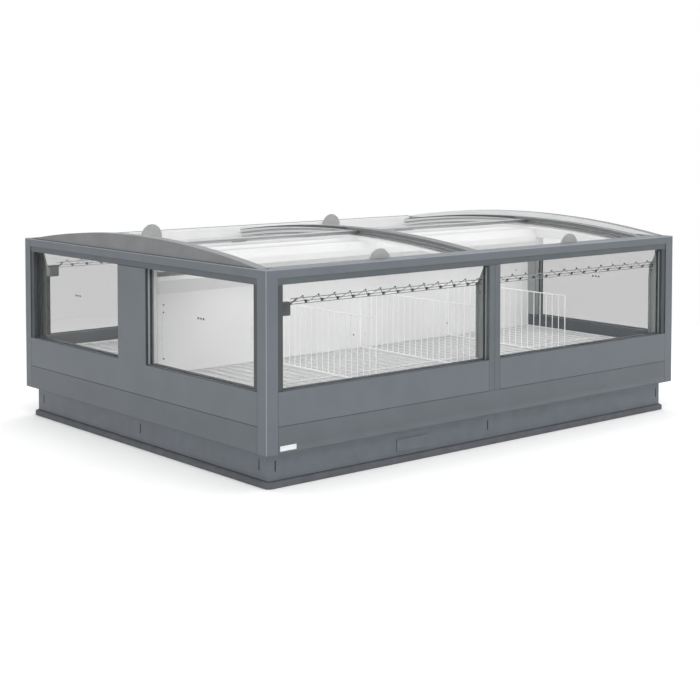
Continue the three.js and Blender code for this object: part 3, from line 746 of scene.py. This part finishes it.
def layPlate(piece, spanX, spanZ):  # a bare label plate, flush in the front sheet
    for at, axis in zip((*spanX, *spanZ), "xxzz"):
        cutAcross(piece, isFront, axis, at)
    paintWhere(
        piece,
        barePlate,
        lambda c, n: isFront(c, n) and spanX[0] < c.x < spanX[1] and within(c.z, spanZ),
    )


for part in parts:
    piece = coat(copyOf(f"skirt_{part}", titled("skirt", part)), deepCoat, seamSealantAndShadow)
    # the bevels take the dark seam colour: painted shadow
    easeEdges(piece, panelLooks["edge"], edgePaint=1)
    if part == "front":
        layPlate(piece, panelLooks["plateX"], panelLooks["plateZ"])
    finished(piece, "panel_paint", "cabinet", f"skirt_{part}")

for side, end, *_ in corners:
    piece = coat(copyOf(f"belt_{side}_{end}", titled("belt", side, end)), powderCoat, seamSealantAndShadow)
    # the bevels take the dark seam colour: painted shadow
    easeEdges(piece, panelLooks["edge"], edgePaint=1)
    finished(piece, "panel_paint", "cabinet", f"belt_{side}_{end}")
    piece = coat(copyOf(f"corner_post_{side}_{end}", titled("cornerPost", side, end)), powderCoat)
    # painted highlight along the post's rounded corner
    paintWhere(piece, paintedHighlightCoat, isCorner)
    paintWhere(piece, foldedSteel, isUpright)
    # painted shade on the jambs in the window recess
    paintWhere(piece, jambShadeCoat, isJamb)
    paintWhere(piece, powderCoat, isSensor)
    easeEdges(piece, panelLooks["railEdge"])
    finished(piece, "panel_paint", "cabinet", f"corner_post_{side}_{end}")

for end, signX in ends:
    piece = coat(copyOf(f"end_panel_{end}", titled("endPanel", end)), powderCoat, seamSealantAndShadow)
    edges = panelLooks["pierEdges"]
    cutAcross(piece, isPierSide, "x", signX * edges[1])
    cutAcross(piece, lambda c, n: True, "x", signX * edges[2])
    # painted light and shade on the pier's side: the outer slice dark as painted shade in the
    # reveal, the inner slice white at the left end and grey at the right end as the light falls
    inner = formedLiner if end == "left" else foldedSteel
    slices = zip((0, *edges), edges, (foldedSteel, inner, foldedSteel, darkAbsAndRevealShade))
    for low, high, material in slices:
        paintWhere(piece, material, lambda c, n: isPier(c, (low, high)))
    # the bevels take the dark seam colour: painted shadow
    easeEdges(piece, panelLooks["edge"], edgePaint=1)
    finished(piece, "panel_paint", "cabinet", f"end_panel_{end}")

for side, _ in sides:
    piece = coat(copyOf(f"mullion_{side}", titled("mullion", side)), deepCoat)
    paintWhere(piece, foldedSteel, isUpright)
    # painted shadow in the seam down the mullion's middle
    paintWhere(piece, seamSealantAndShadow, isSeam)
    easeEdges(piece, panelLooks["railEdge"])
    finished(piece, "panel_paint", "cabinet", f"mullion_{side}")

for part in parts:
    piece = coat(copyOf(f"top_rail_{part}", titled("topRail", part)), powderCoat)
    if part == "rear":  # a painted reflection: a light strip along the inner edge of the rear rail's top
        trimY, sheenFrom = panelLooks["trimY"], panelLooks["sheenFrom"]
        cutAcross(piece, isLevel, "y", trimY)
        paintWhere(piece, lightPvcAndPaintedSheen, lambda c, n: isLevel(c, n) and c.y < trimY and c.z > sheenFrom)
    # painted shade on the recessed band under the rail
    paintWhere(piece, sillPaintAndGrooveShade, isBand)
    paintWhere(piece, formedLiner, isRailInside)
    # painted highlight along the rail's bead
    paintWhere(piece, paintedHighlightCoat, isCorner)
    easeEdges(piece, panelLooks["railEdge"])
    finished(piece, "panel_paint", "cabinet", f"top_rail_{part}")

piece = coat(copyOf("insulated_tub", "insulatedTub"), formedLiner)
paintWhere(piece, sillPaintAndGrooveShade, lambda c, n: c.z > panelLooks["tubSill"])  # the sill is painted
easeEdges(piece, panelLooks["tubEdge"])
finished(piece, "tub_liner", "cabinet", "insulated_tub")
print("panels, posts and rails ready")

# Side glazing: two sheets on a dark spacer
paneLooks = {
    "clear": 0.2 * millimetre,
    "sheet": 4 * millimetre,
    "spacer": 2 * millimetre,
    "spacerFit": 0.1 * millimetre,
    "edge": 0.8 * millimetre,
    "dots": [(0.496, 0.645), (0.516, 0.645), (0.536, 0.645)],
    "dotRadius": 5 * millimetre,
    "dotHeight": 1 * millimetre,
    "dotFit": 0.3 * millimetre,
}


def glazing(name, node, across):  # across is the axis through the panes, 0 for X and 1 for Y
    low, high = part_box(node)
    inset = Vector((1, 1, 1)) * paneLooks["clear"]
    low, high = low + inset, high - inset
    for tag, near in (("Outer", True), ("Inner", False)):
        a, b = low.copy(), high.copy()
        outward = high[across] > 0
        if near == outward:
            a[across] = b[across] - paneLooks["sheet"]
        else:
            b[across] = a[across] + paneLooks["sheet"]
        sheet = coat(addBlock(name + tag, a, b), sideGlass)
        easeGlass(sheet, paneLooks["edge"])
        finished(sheet, "clear_glass", "cabinet", node)
    low[across] += paneLooks["sheet"] + paneLooks["spacerFit"]
    high[across] -= paneLooks["sheet"] + paneLooks["spacerFit"]
    spacer = coat(addBlock(name + "Spacer", low, high), darkAbsAndRevealShade)
    selectFaces(spacer, lambda c, n: abs(n[across]) > squarely)
    bpy.ops.mesh.inset(thickness=paneLooks["spacer"], depth=0)
    bpy.ops.mesh.delete(type="FACE")
    bpy.ops.object.mode_set(mode="OBJECT")
    bridgeOpenEdges(spacer)
    finished(spacer, "dark_plastic", "cabinet", node)


def bridgeOpenEdges(piece):  # joins the rims of two holes through a piece
    pickOnly(piece)
    bpy.ops.object.mode_set(mode="EDIT")
    bpy.ops.mesh.select_all(action="DESELECT")
    bpy.ops.mesh.select_mode(type="EDGE")
    bpy.ops.mesh.select_non_manifold(extend=False, use_wire=False, use_multi_face=False)
    bpy.ops.mesh.bridge_edge_loops()
    bpy.ops.mesh.select_all(action="SELECT")
    bpy.ops.mesh.normals_make_consistent(inside=False)
    bpy.ops.mesh.select_mode(type="FACE")
    bpy.ops.object.mode_set(mode="OBJECT")


for side, end, *_ in corners:
    glazing(titled("window", side, end), f"window_{side}_{end}", 1)
    glazing(titled("endWindow", side, end), f"end_window_{side}_{end}", 0)

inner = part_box("end_window_rear_right")[1].x - paneLooks["sheet"] - paneLooks["dotFit"]
outer = inner - paneLooks["dotHeight"]
model = addRod("dot", (outer, 0, 0), (inner, 0, 0), paneLooks["dotRadius"], sidesRound=12)
model = copiesAt("dots", model, [(0, y, z) for y, z in paneLooks["dots"]])
atCorners(model, "paneDots", blackScrew, "dark_plastic", angle=screwAngle)

uprightLooks = {
    "gasket": ((1.1975, 0.9272, 0.402), (1.2168, 0.9299, 0.700)),
    "postLip": ((1.1960, 0.930, 0.400), (1.2079, 0.9328, 0.744)),
    "mullionLip": ((0.0391, 0.930, 0.400), (0.0510, 0.9328, 0.744)),
    "lipEdge": 0.8 * millimetre,
    "screw": (1.1961, 0.946, 0.718),
    "screwRadius": 4 * millimetre,
    "screwHeight": 1.5 * millimetre,
}
atCorners(addBlock("gasket", *uprightLooks["gasket"]), "postGasket", blackRubberAndShade, "dark_plastic")

lips = [addBlock("lip", *uprightLooks[key]) for key in ("postLip", "mullionLip")]
model = joined("lips", lips)
easeEdges(model, uprightLooks["lipEdge"])
atCorners(model, "uprightLips", foldedSteel, "panel_paint")

x, y, z = uprightLooks["screw"]
tip = (x - uprightLooks["screwHeight"], y, z)
model = addRod("screw", (x, y, z), tip, uprightLooks["screwRadius"], sidesRound=16)
atCorners(model, "uprightScrew", blackScrew, "dark_plastic", angle=screwAngle)
print("side glazing ready")

# Arches and lids
archLooks = {
    "ribs": [-0.024, -0.018, -0.012, -0.006, 0.0, 0.006, 0.012, 0.018, 0.024],
    "ribWidth": 1.6 * millimetre,
    "ribDepth": 1.2 * millimetre,
    "edge": 0.8 * millimetre,
    "edgeAngle": 40,
    "centreZ": -5.457,
    "topFrom": 6.3988,
    "topSlope": 0.95,
    "grooveTo": 6.3985,
    "behindFrom": 0.03,
    "behindSlope": 0.5,
    "floorRadius": 6.353,
    "floorSlope": 0.8,
    "innerTrack": 1.2449,
    "capBack": 1.240,
    "capNear": 0.6 * millimetre,
    "gasket": ((1.2700, -0.928, 0.8921), (1.2906, 0.928, 0.8938)),
    "tabs": (("left", -0.812, -0.725), ("right", 0.211, 0.331)),
    "tabY": (-0.0935, -0.0912),
    "tabZ": (0.9062, 0.9172),
}


def arcRadius(centre):
    return math.hypot(centre.y, centre.z - archLooks["centreZ"])


def isArchTop(centre, normal):
    return normal.z > archLooks["topSlope"] and arcRadius(centre) > archLooks["topFrom"]


def isTrack(centre, normal):
    return abs(centre.x) < archLooks["innerTrack"]


def isFlank(centre, normal):
    return abs(normal.x) > squarely and isTrack(centre, normal)


def isCapInside(centre, normal):  # the light back of the cap, over the track
    off = abs(abs(centre.x) - archLooks["capBack"])
    return centre.x * normal.x < -squarely and off < archLooks["capNear"]


def isLinerOrPaintedLightGroove(centre, normal):  # painted light in the grooves behind the crown, which are painted white; the white liner on the underside over the well
    radius = arcRadius(centre)
    inGroove = radius < archLooks["grooveTo"] and isTrack(centre, normal)
    behind = centre.y > archLooks["behindFrom"] and abs(normal.x) < archLooks["behindSlope"]
    under = normal.z < -archLooks["floorSlope"] and radius < archLooks["floorRadius"]
    return inGroove and behind or under


def groove(piece, lines):  # fine grooves along the top of an arch
    half = archLooks["ribWidth"] / 2
    sink = {"value": (0, 0, -archLooks["ribDepth"])}
    for line in lines:
        for edge in (line - half, line + half):
            cutAcross(piece, isArchTop, "x", edge)
    for line in lines:
        selectFaces(piece, lambda c, n: isArchTop(c, n) and abs(c.x - line) < half)
        bpy.ops.mesh.extrude_region_move(TRANSFORM_OT_translate=sink)
        bpy.ops.object.mode_set(mode="OBJECT")


piece = copyOf("mid_arch", "midArch")
groove(piece, archLooks["ribs"])
coat(piece, extrudedTrack)
# painted light and shade on the track's flanks, set in the shader by each face's place
paintWhere(piece, flankPaintedLightAndShade, isFlank)
# painted light: the grooves behind the crown in white
paintWhere(piece, formedLiner, isLinerOrPaintedLightGroove)
smooth(piece)
finished(piece, "track_plastic", "cabinet", "mid_arch")

# a dark strip under each cap: painted shadow in the gap
model = coat(addBlock("capGasket", *archLooks["gasket"]), seamSealantAndShadow)
for end, sign in ends:
    piece = coat(copyOf(f"end_arch_{end}", titled("endArch", end)), mouldedCap)
    paintWhere(piece, extrudedTrack, isTrack)
    # painted light and shade on the track's flanks, set in the shader by each face's place
    paintWhere(piece, flankPaintedLightAndShade, isFlank)
    paintWhere(piece, formedLiner, isLinerOrPaintedLightGroove)
    paintWhere(piece, formedLiner, isCapInside)
    easeEdges(piece, archLooks["edge"], angle=archLooks["edgeAngle"])
    finished(piece, "cap_paint", "cabinet", f"end_arch_{end}")
    piece = turnedOver(model, titled("capGasket", end), sign, 1)
    finished(piece, "dark_plastic", "cabinet")
bpy.data.objects.remove(model)

for end, x0, x1 in archLooks["tabs"]:  # small stops under the inner edge of the front lids
    (y0, y1), (z0, z1) = archLooks["tabY"], archLooks["tabZ"]
    piece = coat(addBlock(titled("lidStop", end), (x0, y0, z0), (x1, y1, z1)), darkAbsAndRevealShade)
    easeEdges(piece, archLooks["edge"])
    finished(piece, "dark_plastic", f"lid_front_{end}")

lidLooks = {
    "glassEdge": 0.6 * millimetre,
    "frameEdge": 0.8 * millimetre,
    "handleFrom": 0.885,
    "handleY": 0.906,
    "handleHalf": 4.5 * millimetre,
    "sealSlope": 0.8,
    "sealHalf": 0.15,
}


def isHandle(centre, normal):
    off = abs(abs(centre.y) - lidLooks["handleY"])
    return centre.z > lidLooks["handleFrom"] and off < lidLooks["handleHalf"]


def isSeal(centre, normal):  # under the bar at the crown
    return normal.z < -lidLooks["sealSlope"] and abs(centre.y) < lidLooks["sealHalf"]


for side, end, *_ in corners:
    body = f"lid_{side}_{end}"
    piece = coat(copyOf(f"lid_glass_{side}_{end}", titled("lidGlass", side, end)), lidGlass)
    easeGlass(piece, lidLooks["glassEdge"])
    finished(piece, "clear_glass", body, f"lid_glass_{side}_{end}")
    piece = coat(copyOf(f"lid_frame_{side}_{end}", titled("lidFrame", side, end)), anodisedBar)
    paintWhere(piece, smokedHandle, isHandle)
    paintWhere(piece, lightPvcAndPaintedSheen, isSeal)
    easeEdges(piece, lidLooks["frameEdge"])
    finished(piece, "lid_aluminium", body, f"lid_frame_{side}_{end}")
print("arches and lids ready")

# Air duct
ductLooks = {
    "wallEdge": 0.8 * millimetre,
    "coverEdge": 1.0 * millimetre,
    "deckTop": 0.337,  # of the deck under the grilles
    "outletTop": 0.8069,
    "face": 0.060,
    "columns": (-1.175, -0.6755, -0.5495, -0.063, 0.063, 0.5495, 0.6755, 1.175),
    "backing": ((-0.011, 0.0540, 0.392), (0.011, 0.0560, 0.606)),
    "slat": ((-0.0005, 0.1030, 0.7850), (0.0005, 0.1165, 0.8065)),
    "slatPitch": 6.5 * millimetre,
    "ductHalf": 1.232,
    "screwRadius": 4 * millimetre,
    "screwHeight": 1.6 * millimetre,
    "screwEdge": 0.6 * millimetre,
    "screws": [
        (-1.166, 0.404), (-1.166, 0.615), (-1.166, 0.650), (-0.040, 0.404), (0.040, 0.404),
        (1.141, 0.404), (1.141, 0.650), (-0.6125, 0.404), (0.6125, 0.404),
    ],
}

# the duct wall glows faintly: painted light in the well
piece = coat(copyOf("duct_wall", "ductWall"), whiteEnamelPaintedGlow)
# painted shade: the deck under the grilles is greyer than the walls
paintWhere(piece, deckShadeEnamel, lambda c, n: c.z < ductLooks["deckTop"])
easeEdges(piece, ductLooks["wallEdge"])
finished(piece, "white_paint", "cabinet", "duct_wall")

# the cover glows faintly: painted light
piece = coat(copyOf("duct_cover", "ductCover"), coverEnamelPaintedGlow)
paintWhere(piece, lightPvcAndPaintedSheen, lambda c, n: c.z < ductLooks["outletTop"] and abs(n.z) < exactly)
easeEdges(piece, ductLooks["coverEdge"])
finished(piece, "white_paint", "cabinet", "duct_cover")

# white blocks behind the duct's slots, glowing faintly: painted light, so the slots read light
model = addBlock("slotBacking", *ductLooks["backing"])
row = copiesAt("slotBacking", model, [(x, 0, 0) for x in ductLooks["columns"]])
coat(row, whiteEnamelPaintedGlow)
count = int(2 * ductLooks["ductHalf"] / ductLooks["slatPitch"])
slats = coat(addBlock("outletSlats", *ductLooks["slat"]), lightPvcAndPaintedSheen)
slats.location = (-ductLooks["slatPitch"] * (count - 1) / 2, 0, 0)
settle(slats)
inRow(slats, count, (ductLooks["slatPitch"], 0, 0))
face, top = ductLooks["face"], ductLooks["face"] + ductLooks["screwHeight"]
model = addRod("screw", (0, -face, 0), (0, -top, 0), ductLooks["screwRadius"], sidesRound=16)
easeEdges(model, ductLooks["screwEdge"])
heads = copiesAt("ductScrews", model, [(x, 0, z) for x, z in ductLooks["screws"]])
coat(heads, blackScrew)
for side, sign in sides:
    finished(turnedOver(row, titled("slotBacking", side), 1, sign), "white_paint", "cabinet")
    finished(turnedOver(slats, titled("outletSlats", side), 1, sign), "white_paint", "cabinet")
    piece = turnedOver(heads, titled("ductScrews", side), 1, -sign)
    smooth(piece, screwAngle)
    finished(piece, "dark_plastic", "cabinet")
for model in (row, slats, heads):
    bpy.data.objects.remove(model)
print("air duct ready")

# Wire goods: floor grilles, dividers and guards
grilleLooks = {
    "thick": 2.5 * millimetre,
    "thin": 2.0 * millimetre,
    "height": 5 * millimetre,
    "near": 0.065,
    "far": 0.938,
    "split": 0.611,
    "x0": 0.002,
    "x1": 1.233,
    "floor": 0.336,
    "bars": 21,
}


def grilleQuarter():
    thick, thin = grilleLooks["thick"], grilleLooks["thin"]
    near, split, far = (grilleLooks[key] for key in ("near", "split", "far"))
    x0, x1, floor = (grilleLooks[key] for key in ("x0", "x1", "floor"))
    low = floor + thick
    high = floor + grilleLooks["height"] - thin
    ys = [near + thick, split - thick, split + thick, far - thick]
    rods = [addRod("rim", (x0, y, low), (x1, y, low), thick) for y in ys]
    step = (x1 - x0 - 2 * thick) / (grilleLooks["bars"] - 1)
    for y0, y1 in (ys[:2], ys[2:]):
        rod = addRod("cross", (x0 + thick, y0, high), (x0 + thick, y1, high), thin)
        rods.append(inRow(rod, grilleLooks["bars"], (step, 0, 0)))
    return joined("grilleQuarter", rods)


atCorners(
    grilleQuarter(), "floorGrille", dippedWire, "white_wire", node="floor_grille", angle=wireAngle
)

dividerLooks = {
    "frame": 2.5 * millimetre,
    "bars": 1.8 * millimetre,
    "corner": 4 * millimetre,
    "cornerSegments": 4,
    "wireSegments": 1,
    "pitch": 0.041,
}


def bentFrame(name, low, high, radius, corner):  # a closed hoop of round wire, square to X
    bpy.ops.mesh.primitive_plane_add(size=1, rotation=(0, math.pi / 2, 0))
    hoop = bpy.context.object
    hoop.name = name
    settle(hoop)
    hoop.location = (low + high) / 2
    hoop.scale = (1, high.y - low.y - 2 * radius, high.z - low.z - 2 * radius)
    settle(hoop)
    bpy.ops.object.mode_set(mode="EDIT")
    bpy.ops.mesh.select_all(action="SELECT")
    bpy.ops.mesh.bevel(
        offset=corner, segments=dividerLooks["cornerSegments"], affect="VERTICES"
    )
    bpy.ops.mesh.select_all(action="SELECT")
    bpy.ops.mesh.delete(type="ONLY_FACE")
    bpy.ops.object.mode_set(mode="OBJECT")
    bpy.ops.object.convert(target="CURVE")
    hoop = bpy.context.object
    hoop.data.bevel_depth = radius
    hoop.data.bevel_resolution = dividerLooks["wireSegments"]
    bpy.ops.object.convert(target="MESH")
    hoop = bpy.context.object
    tidyMesh(hoop, flat=0)
    return hoop


for place in ("left", "middle", "right"):
    low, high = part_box(f"divider_{place}")
    hoop = bentFrame("hoop", low, high, dividerLooks["frame"], dividerLooks["corner"])
    thin = dividerLooks["bars"]
    count = round((high.y - low.y) / dividerLooks["pitch"]) - 1
    step = (high.y - low.y - 2 * dividerLooks["frame"]) / (count + 1)
    x = (low.x + high.x) / 2
    y = low.y + dividerLooks["frame"] + step
    bar = addRod("bar", (x, y, low.z + thin), (x, y, high.z - thin), thin)
    inRow(bar, count, (0, step, 0))
    # the divider bars glow faintly: painted light
    piece = coat(joined(titled("divider", place), [hoop, bar]), fineWirePaintedGlow)
    smooth(piece, wireAngle)
    finished(piece, "white_wire", f"divider_{place}_body", f"divider_{place}")

guardLooks = {
    "wire": 1.75 * millimetre,
    "braceShare": 0.9,
    "height": 29 * millimetre,
    "middle": 13.5 * millimetre,
    "peak": (0.28, 9 * millimetre),
    "clips": [(0.0, 0.0070, 0.0055, 0.0165), (0.28, 0.0035, 0.0320, 0.0385)],
    "clipHalf": 2.8 * millimetre,
    "clipFoot": 0.35,
    "clipEdge": 0.6 * millimetre,
    "hook": (30 * millimetre, 5 * millimetre, 2.2 * millimetre),
    "pitch": 87.5 * millimetre,
    "tilt": 0.35,
    "y": 0.95,
    "z": 0.736,
}


def guardStep(x0, x1):  # how many waves there are, and how long each is
    count = round((x1 - x0) / guardLooks["pitch"])
    return count, (x1 - x0 - 2 * guardLooks["wire"]) / count


def tilted(pieces):  # leans the guard's pieces back at its place
    whole = joined("guard", pieces)
    whole.rotation_euler = (-guardLooks["tilt"], 0, 0)
    whole.location = (0, guardLooks["y"], guardLooks["z"])
    settle(whole)
    return whole


def guardTruss(x0, x1):
    radius = guardLooks["wire"]
    top = guardLooks["height"] - radius
    levels = (radius, guardLooks["middle"], top)
    rods = [addRod("long", (x0, 0, z), (x1, 0, z), radius) for z in levels]
    count, step = guardStep(x0, x1)
    first = x0 + radius
    share, rise = guardLooks["peak"]
    peak = (step * share, top + rise)
    thin = radius * guardLooks["braceShare"]
    for a, b in (((0, radius), peak), (peak, (step, radius))):
        rod = addRod("brace", (first + a[0], 0, a[1]), (first + b[0], 0, b[1]), thin)
        rods.append(inRow(rod, count, (step, 0, 0)))
    return tilted(rods)


def guardClips(x0, x1):  # dark clips at the middle wire and at the peaks, and a hook at each end
    count, step = guardStep(x0, x1)
    deep, foot = guardLooks["clipHalf"], (guardLooks["clipFoot"], 1, 1)
    clips = []
    for share, half, z0, z1 in guardLooks["clips"]:
        first = x0 + guardLooks["wire"] + step * (1 + share)
        clip = addBlock("clip", (first - half, -deep, z0), (first + half, deep, z1))
        selectFaces(clip, lambda c, n: n.z < -squarely)
        bpy.ops.transform.resize(value=foot, center_override=(first, 0, 0))
        bpy.ops.object.mode_set(mode="OBJECT")
        easeEdges(clip, guardLooks["clipEdge"], segments=1)
        clips.append(inRow(clip, count - 1, (step, 0, 0)))
    reach, inset, thick = guardLooks["hook"]
    for at in (x0 + inset, x1 - inset - reach):
        clips.append(addRod("hook", (at, 0, guardLooks["height"]), (at + reach, 0, thick), thick))
    return tilted(clips)


for side, end, signX, signY in corners:
    low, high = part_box(f"wire_guard_{side}_{end}")
    x0, x1 = sorted((abs(low.x), abs(high.x)))
    for make, label, material, slot in (
        (guardTruss, "wireGuard", platedWire, "white_wire"),
        (guardClips, "guardClips", blackRubberAndShade, "dark_plastic"),
    ):
        model = make(x0, x1)
        piece = coat(turnedOver(model, titled(label, side, end), signX, signY), material)
        bpy.data.objects.remove(model)
        smooth(piece, wireAngle)
        finished(piece, slot, "cabinet", f"wire_guard_{side}_{end}")
print("wire goods ready")

# What keeps its CAD shape
for node, material in (
    ("base_frame", galvanisedSteel),
    ("evaporator", galvanisedSteel),
    ("fan_rotor_left", darkAbsAndRevealShade),
    ("fan_rotor_right", darkAbsAndRevealShade),
):
    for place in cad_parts[node].material_slots:
        place.material = material

# Floor, light and camera
studio = {
    "floorHalf": 60,
    "paper": "#FEFEFE",
    "fadeFrom": 1.7,
    "fadeTo": 4.0,
    "ambient": 0.76,
    "aim": (0, 0, 0.4),
    "lamps": [
        {"name": "keyLamp", "place": (-4.2, -6.2, 6.5), "size": 6.0, "power": 262},
        {"name": "fillLamp", "place": (6.0, -3.0, 6.0), "size": 6.0, "power": 165},
        {"name": "topLamp", "place": (0.0, 1.5, 7.0), "size": 6.0, "power": 195},
    ],
}


def larger(tree, one, other):
    return addNode(tree, "ShaderNodeMath", {"operation": "MAXIMUM"}, {0: one, 1: other}).outputs[0]


def mixed(tree, share, one, other):
    return addNode(tree, "ShaderNodeMixShader", {}, {0: share, 1: one, 2: other}).outputs[0]


bpy.ops.mesh.primitive_plane_add(size=2 * studio["floorHalf"], location=(0, 0, 0))
floor = bpy.context.object
floor.name = "floor"
settle(floor)
floorPaper, tree = emptyMaterial("paleFloorPaper")
place = addNode(tree, "ShaderNodeTexCoord").outputs["Object"]
reach = addNode(tree, "ShaderNodeVectorMath", {"operation": "LENGTH"}, {0: place})
fade = addNode(
    tree,
    "ShaderNodeMapRange",
    {"From Min": studio["fadeFrom"], "From Max": studio["fadeTo"]},
    {"Value": reach.outputs["Value"]},
)
rays = addNode(tree, "ShaderNodeLightPath")
seen = larger(tree, rays.outputs["Is Camera Ray"], rays.outputs["Is Transmission Ray"])
share = addNode(
    tree, "ShaderNodeMath", {"operation": "MULTIPLY"}, {0: seen, 1: fade.outputs["Result"]}
).outputs[0]
paper = addNode(tree, "ShaderNodeBsdfDiffuse", {"Color": colourOf(studio["paper"])}).outputs[0]
glow = addNode(tree, "ShaderNodeEmission", {"Strength": 1.0}).outputs[0]
addNode(tree, "ShaderNodeOutputMaterial", {}, {"Surface": mixed(tree, share, paper, glow)})
coat(floor, floorPaper)

world = bpy.data.worlds.new("studioWorld")
bpy.context.scene.world = world
world.use_nodes = True
tree = world.node_tree
tree.nodes.clear()
rays = addNode(tree, "ShaderNodeLightPath")
seen = larger(tree, rays.outputs["Is Camera Ray"], rays.outputs["Is Transmission Ray"])
seen = larger(tree, seen, rays.outputs["Is Glossy Ray"])
soft, white = (
    addNode(tree, "ShaderNodeBackground", {"Color": (1, 1, 1, 1), "Strength": strength}).outputs[0]
    for strength in (studio["ambient"], 1.0)
)
addNode(tree, "ShaderNodeOutputWorld", {}, {"Surface": mixed(tree, seen, soft, white)})

for lamp in studio["lamps"]:
    bpy.ops.object.light_add(type="AREA", location=lamp["place"])
    light = bpy.context.object
    light.name = lamp["name"]
    light.data.size = lamp["size"]
    light.data.energy = lamp["power"]
    aim = Vector(studio["aim"]) - Vector(lamp["place"])
    light.rotation_euler = aim.to_track_quat("-Z", "Y").to_euler()

view = {
    "place": (-4.77515, -5.62317, 1.50773),
    "pitch": 0.05,
    "yaw": 0.69773,
    "sensor": 36,
    "lens": 75.227,
    "shift": (0.0106, -0.2313),
    "clip": (0.05, 300),
}
turn = (math.pi / 2 - view["pitch"], 0, -view["yaw"])
bpy.ops.object.camera_add(location=view["place"], rotation=turn)
camera = bpy.context.object
camera.name = "photoCamera"
camera.data.sensor_width = view["sensor"]
camera.data.lens = view["lens"]
camera.data.shift_x, camera.data.shift_y = view["shift"]
camera.data.clip_start, camera.data.clip_end = view["clip"]
bpy.context.scene.camera = camera
bpy.context.scene.view_settings.view_transform = "Standard"
print("floor, light and camera ready")
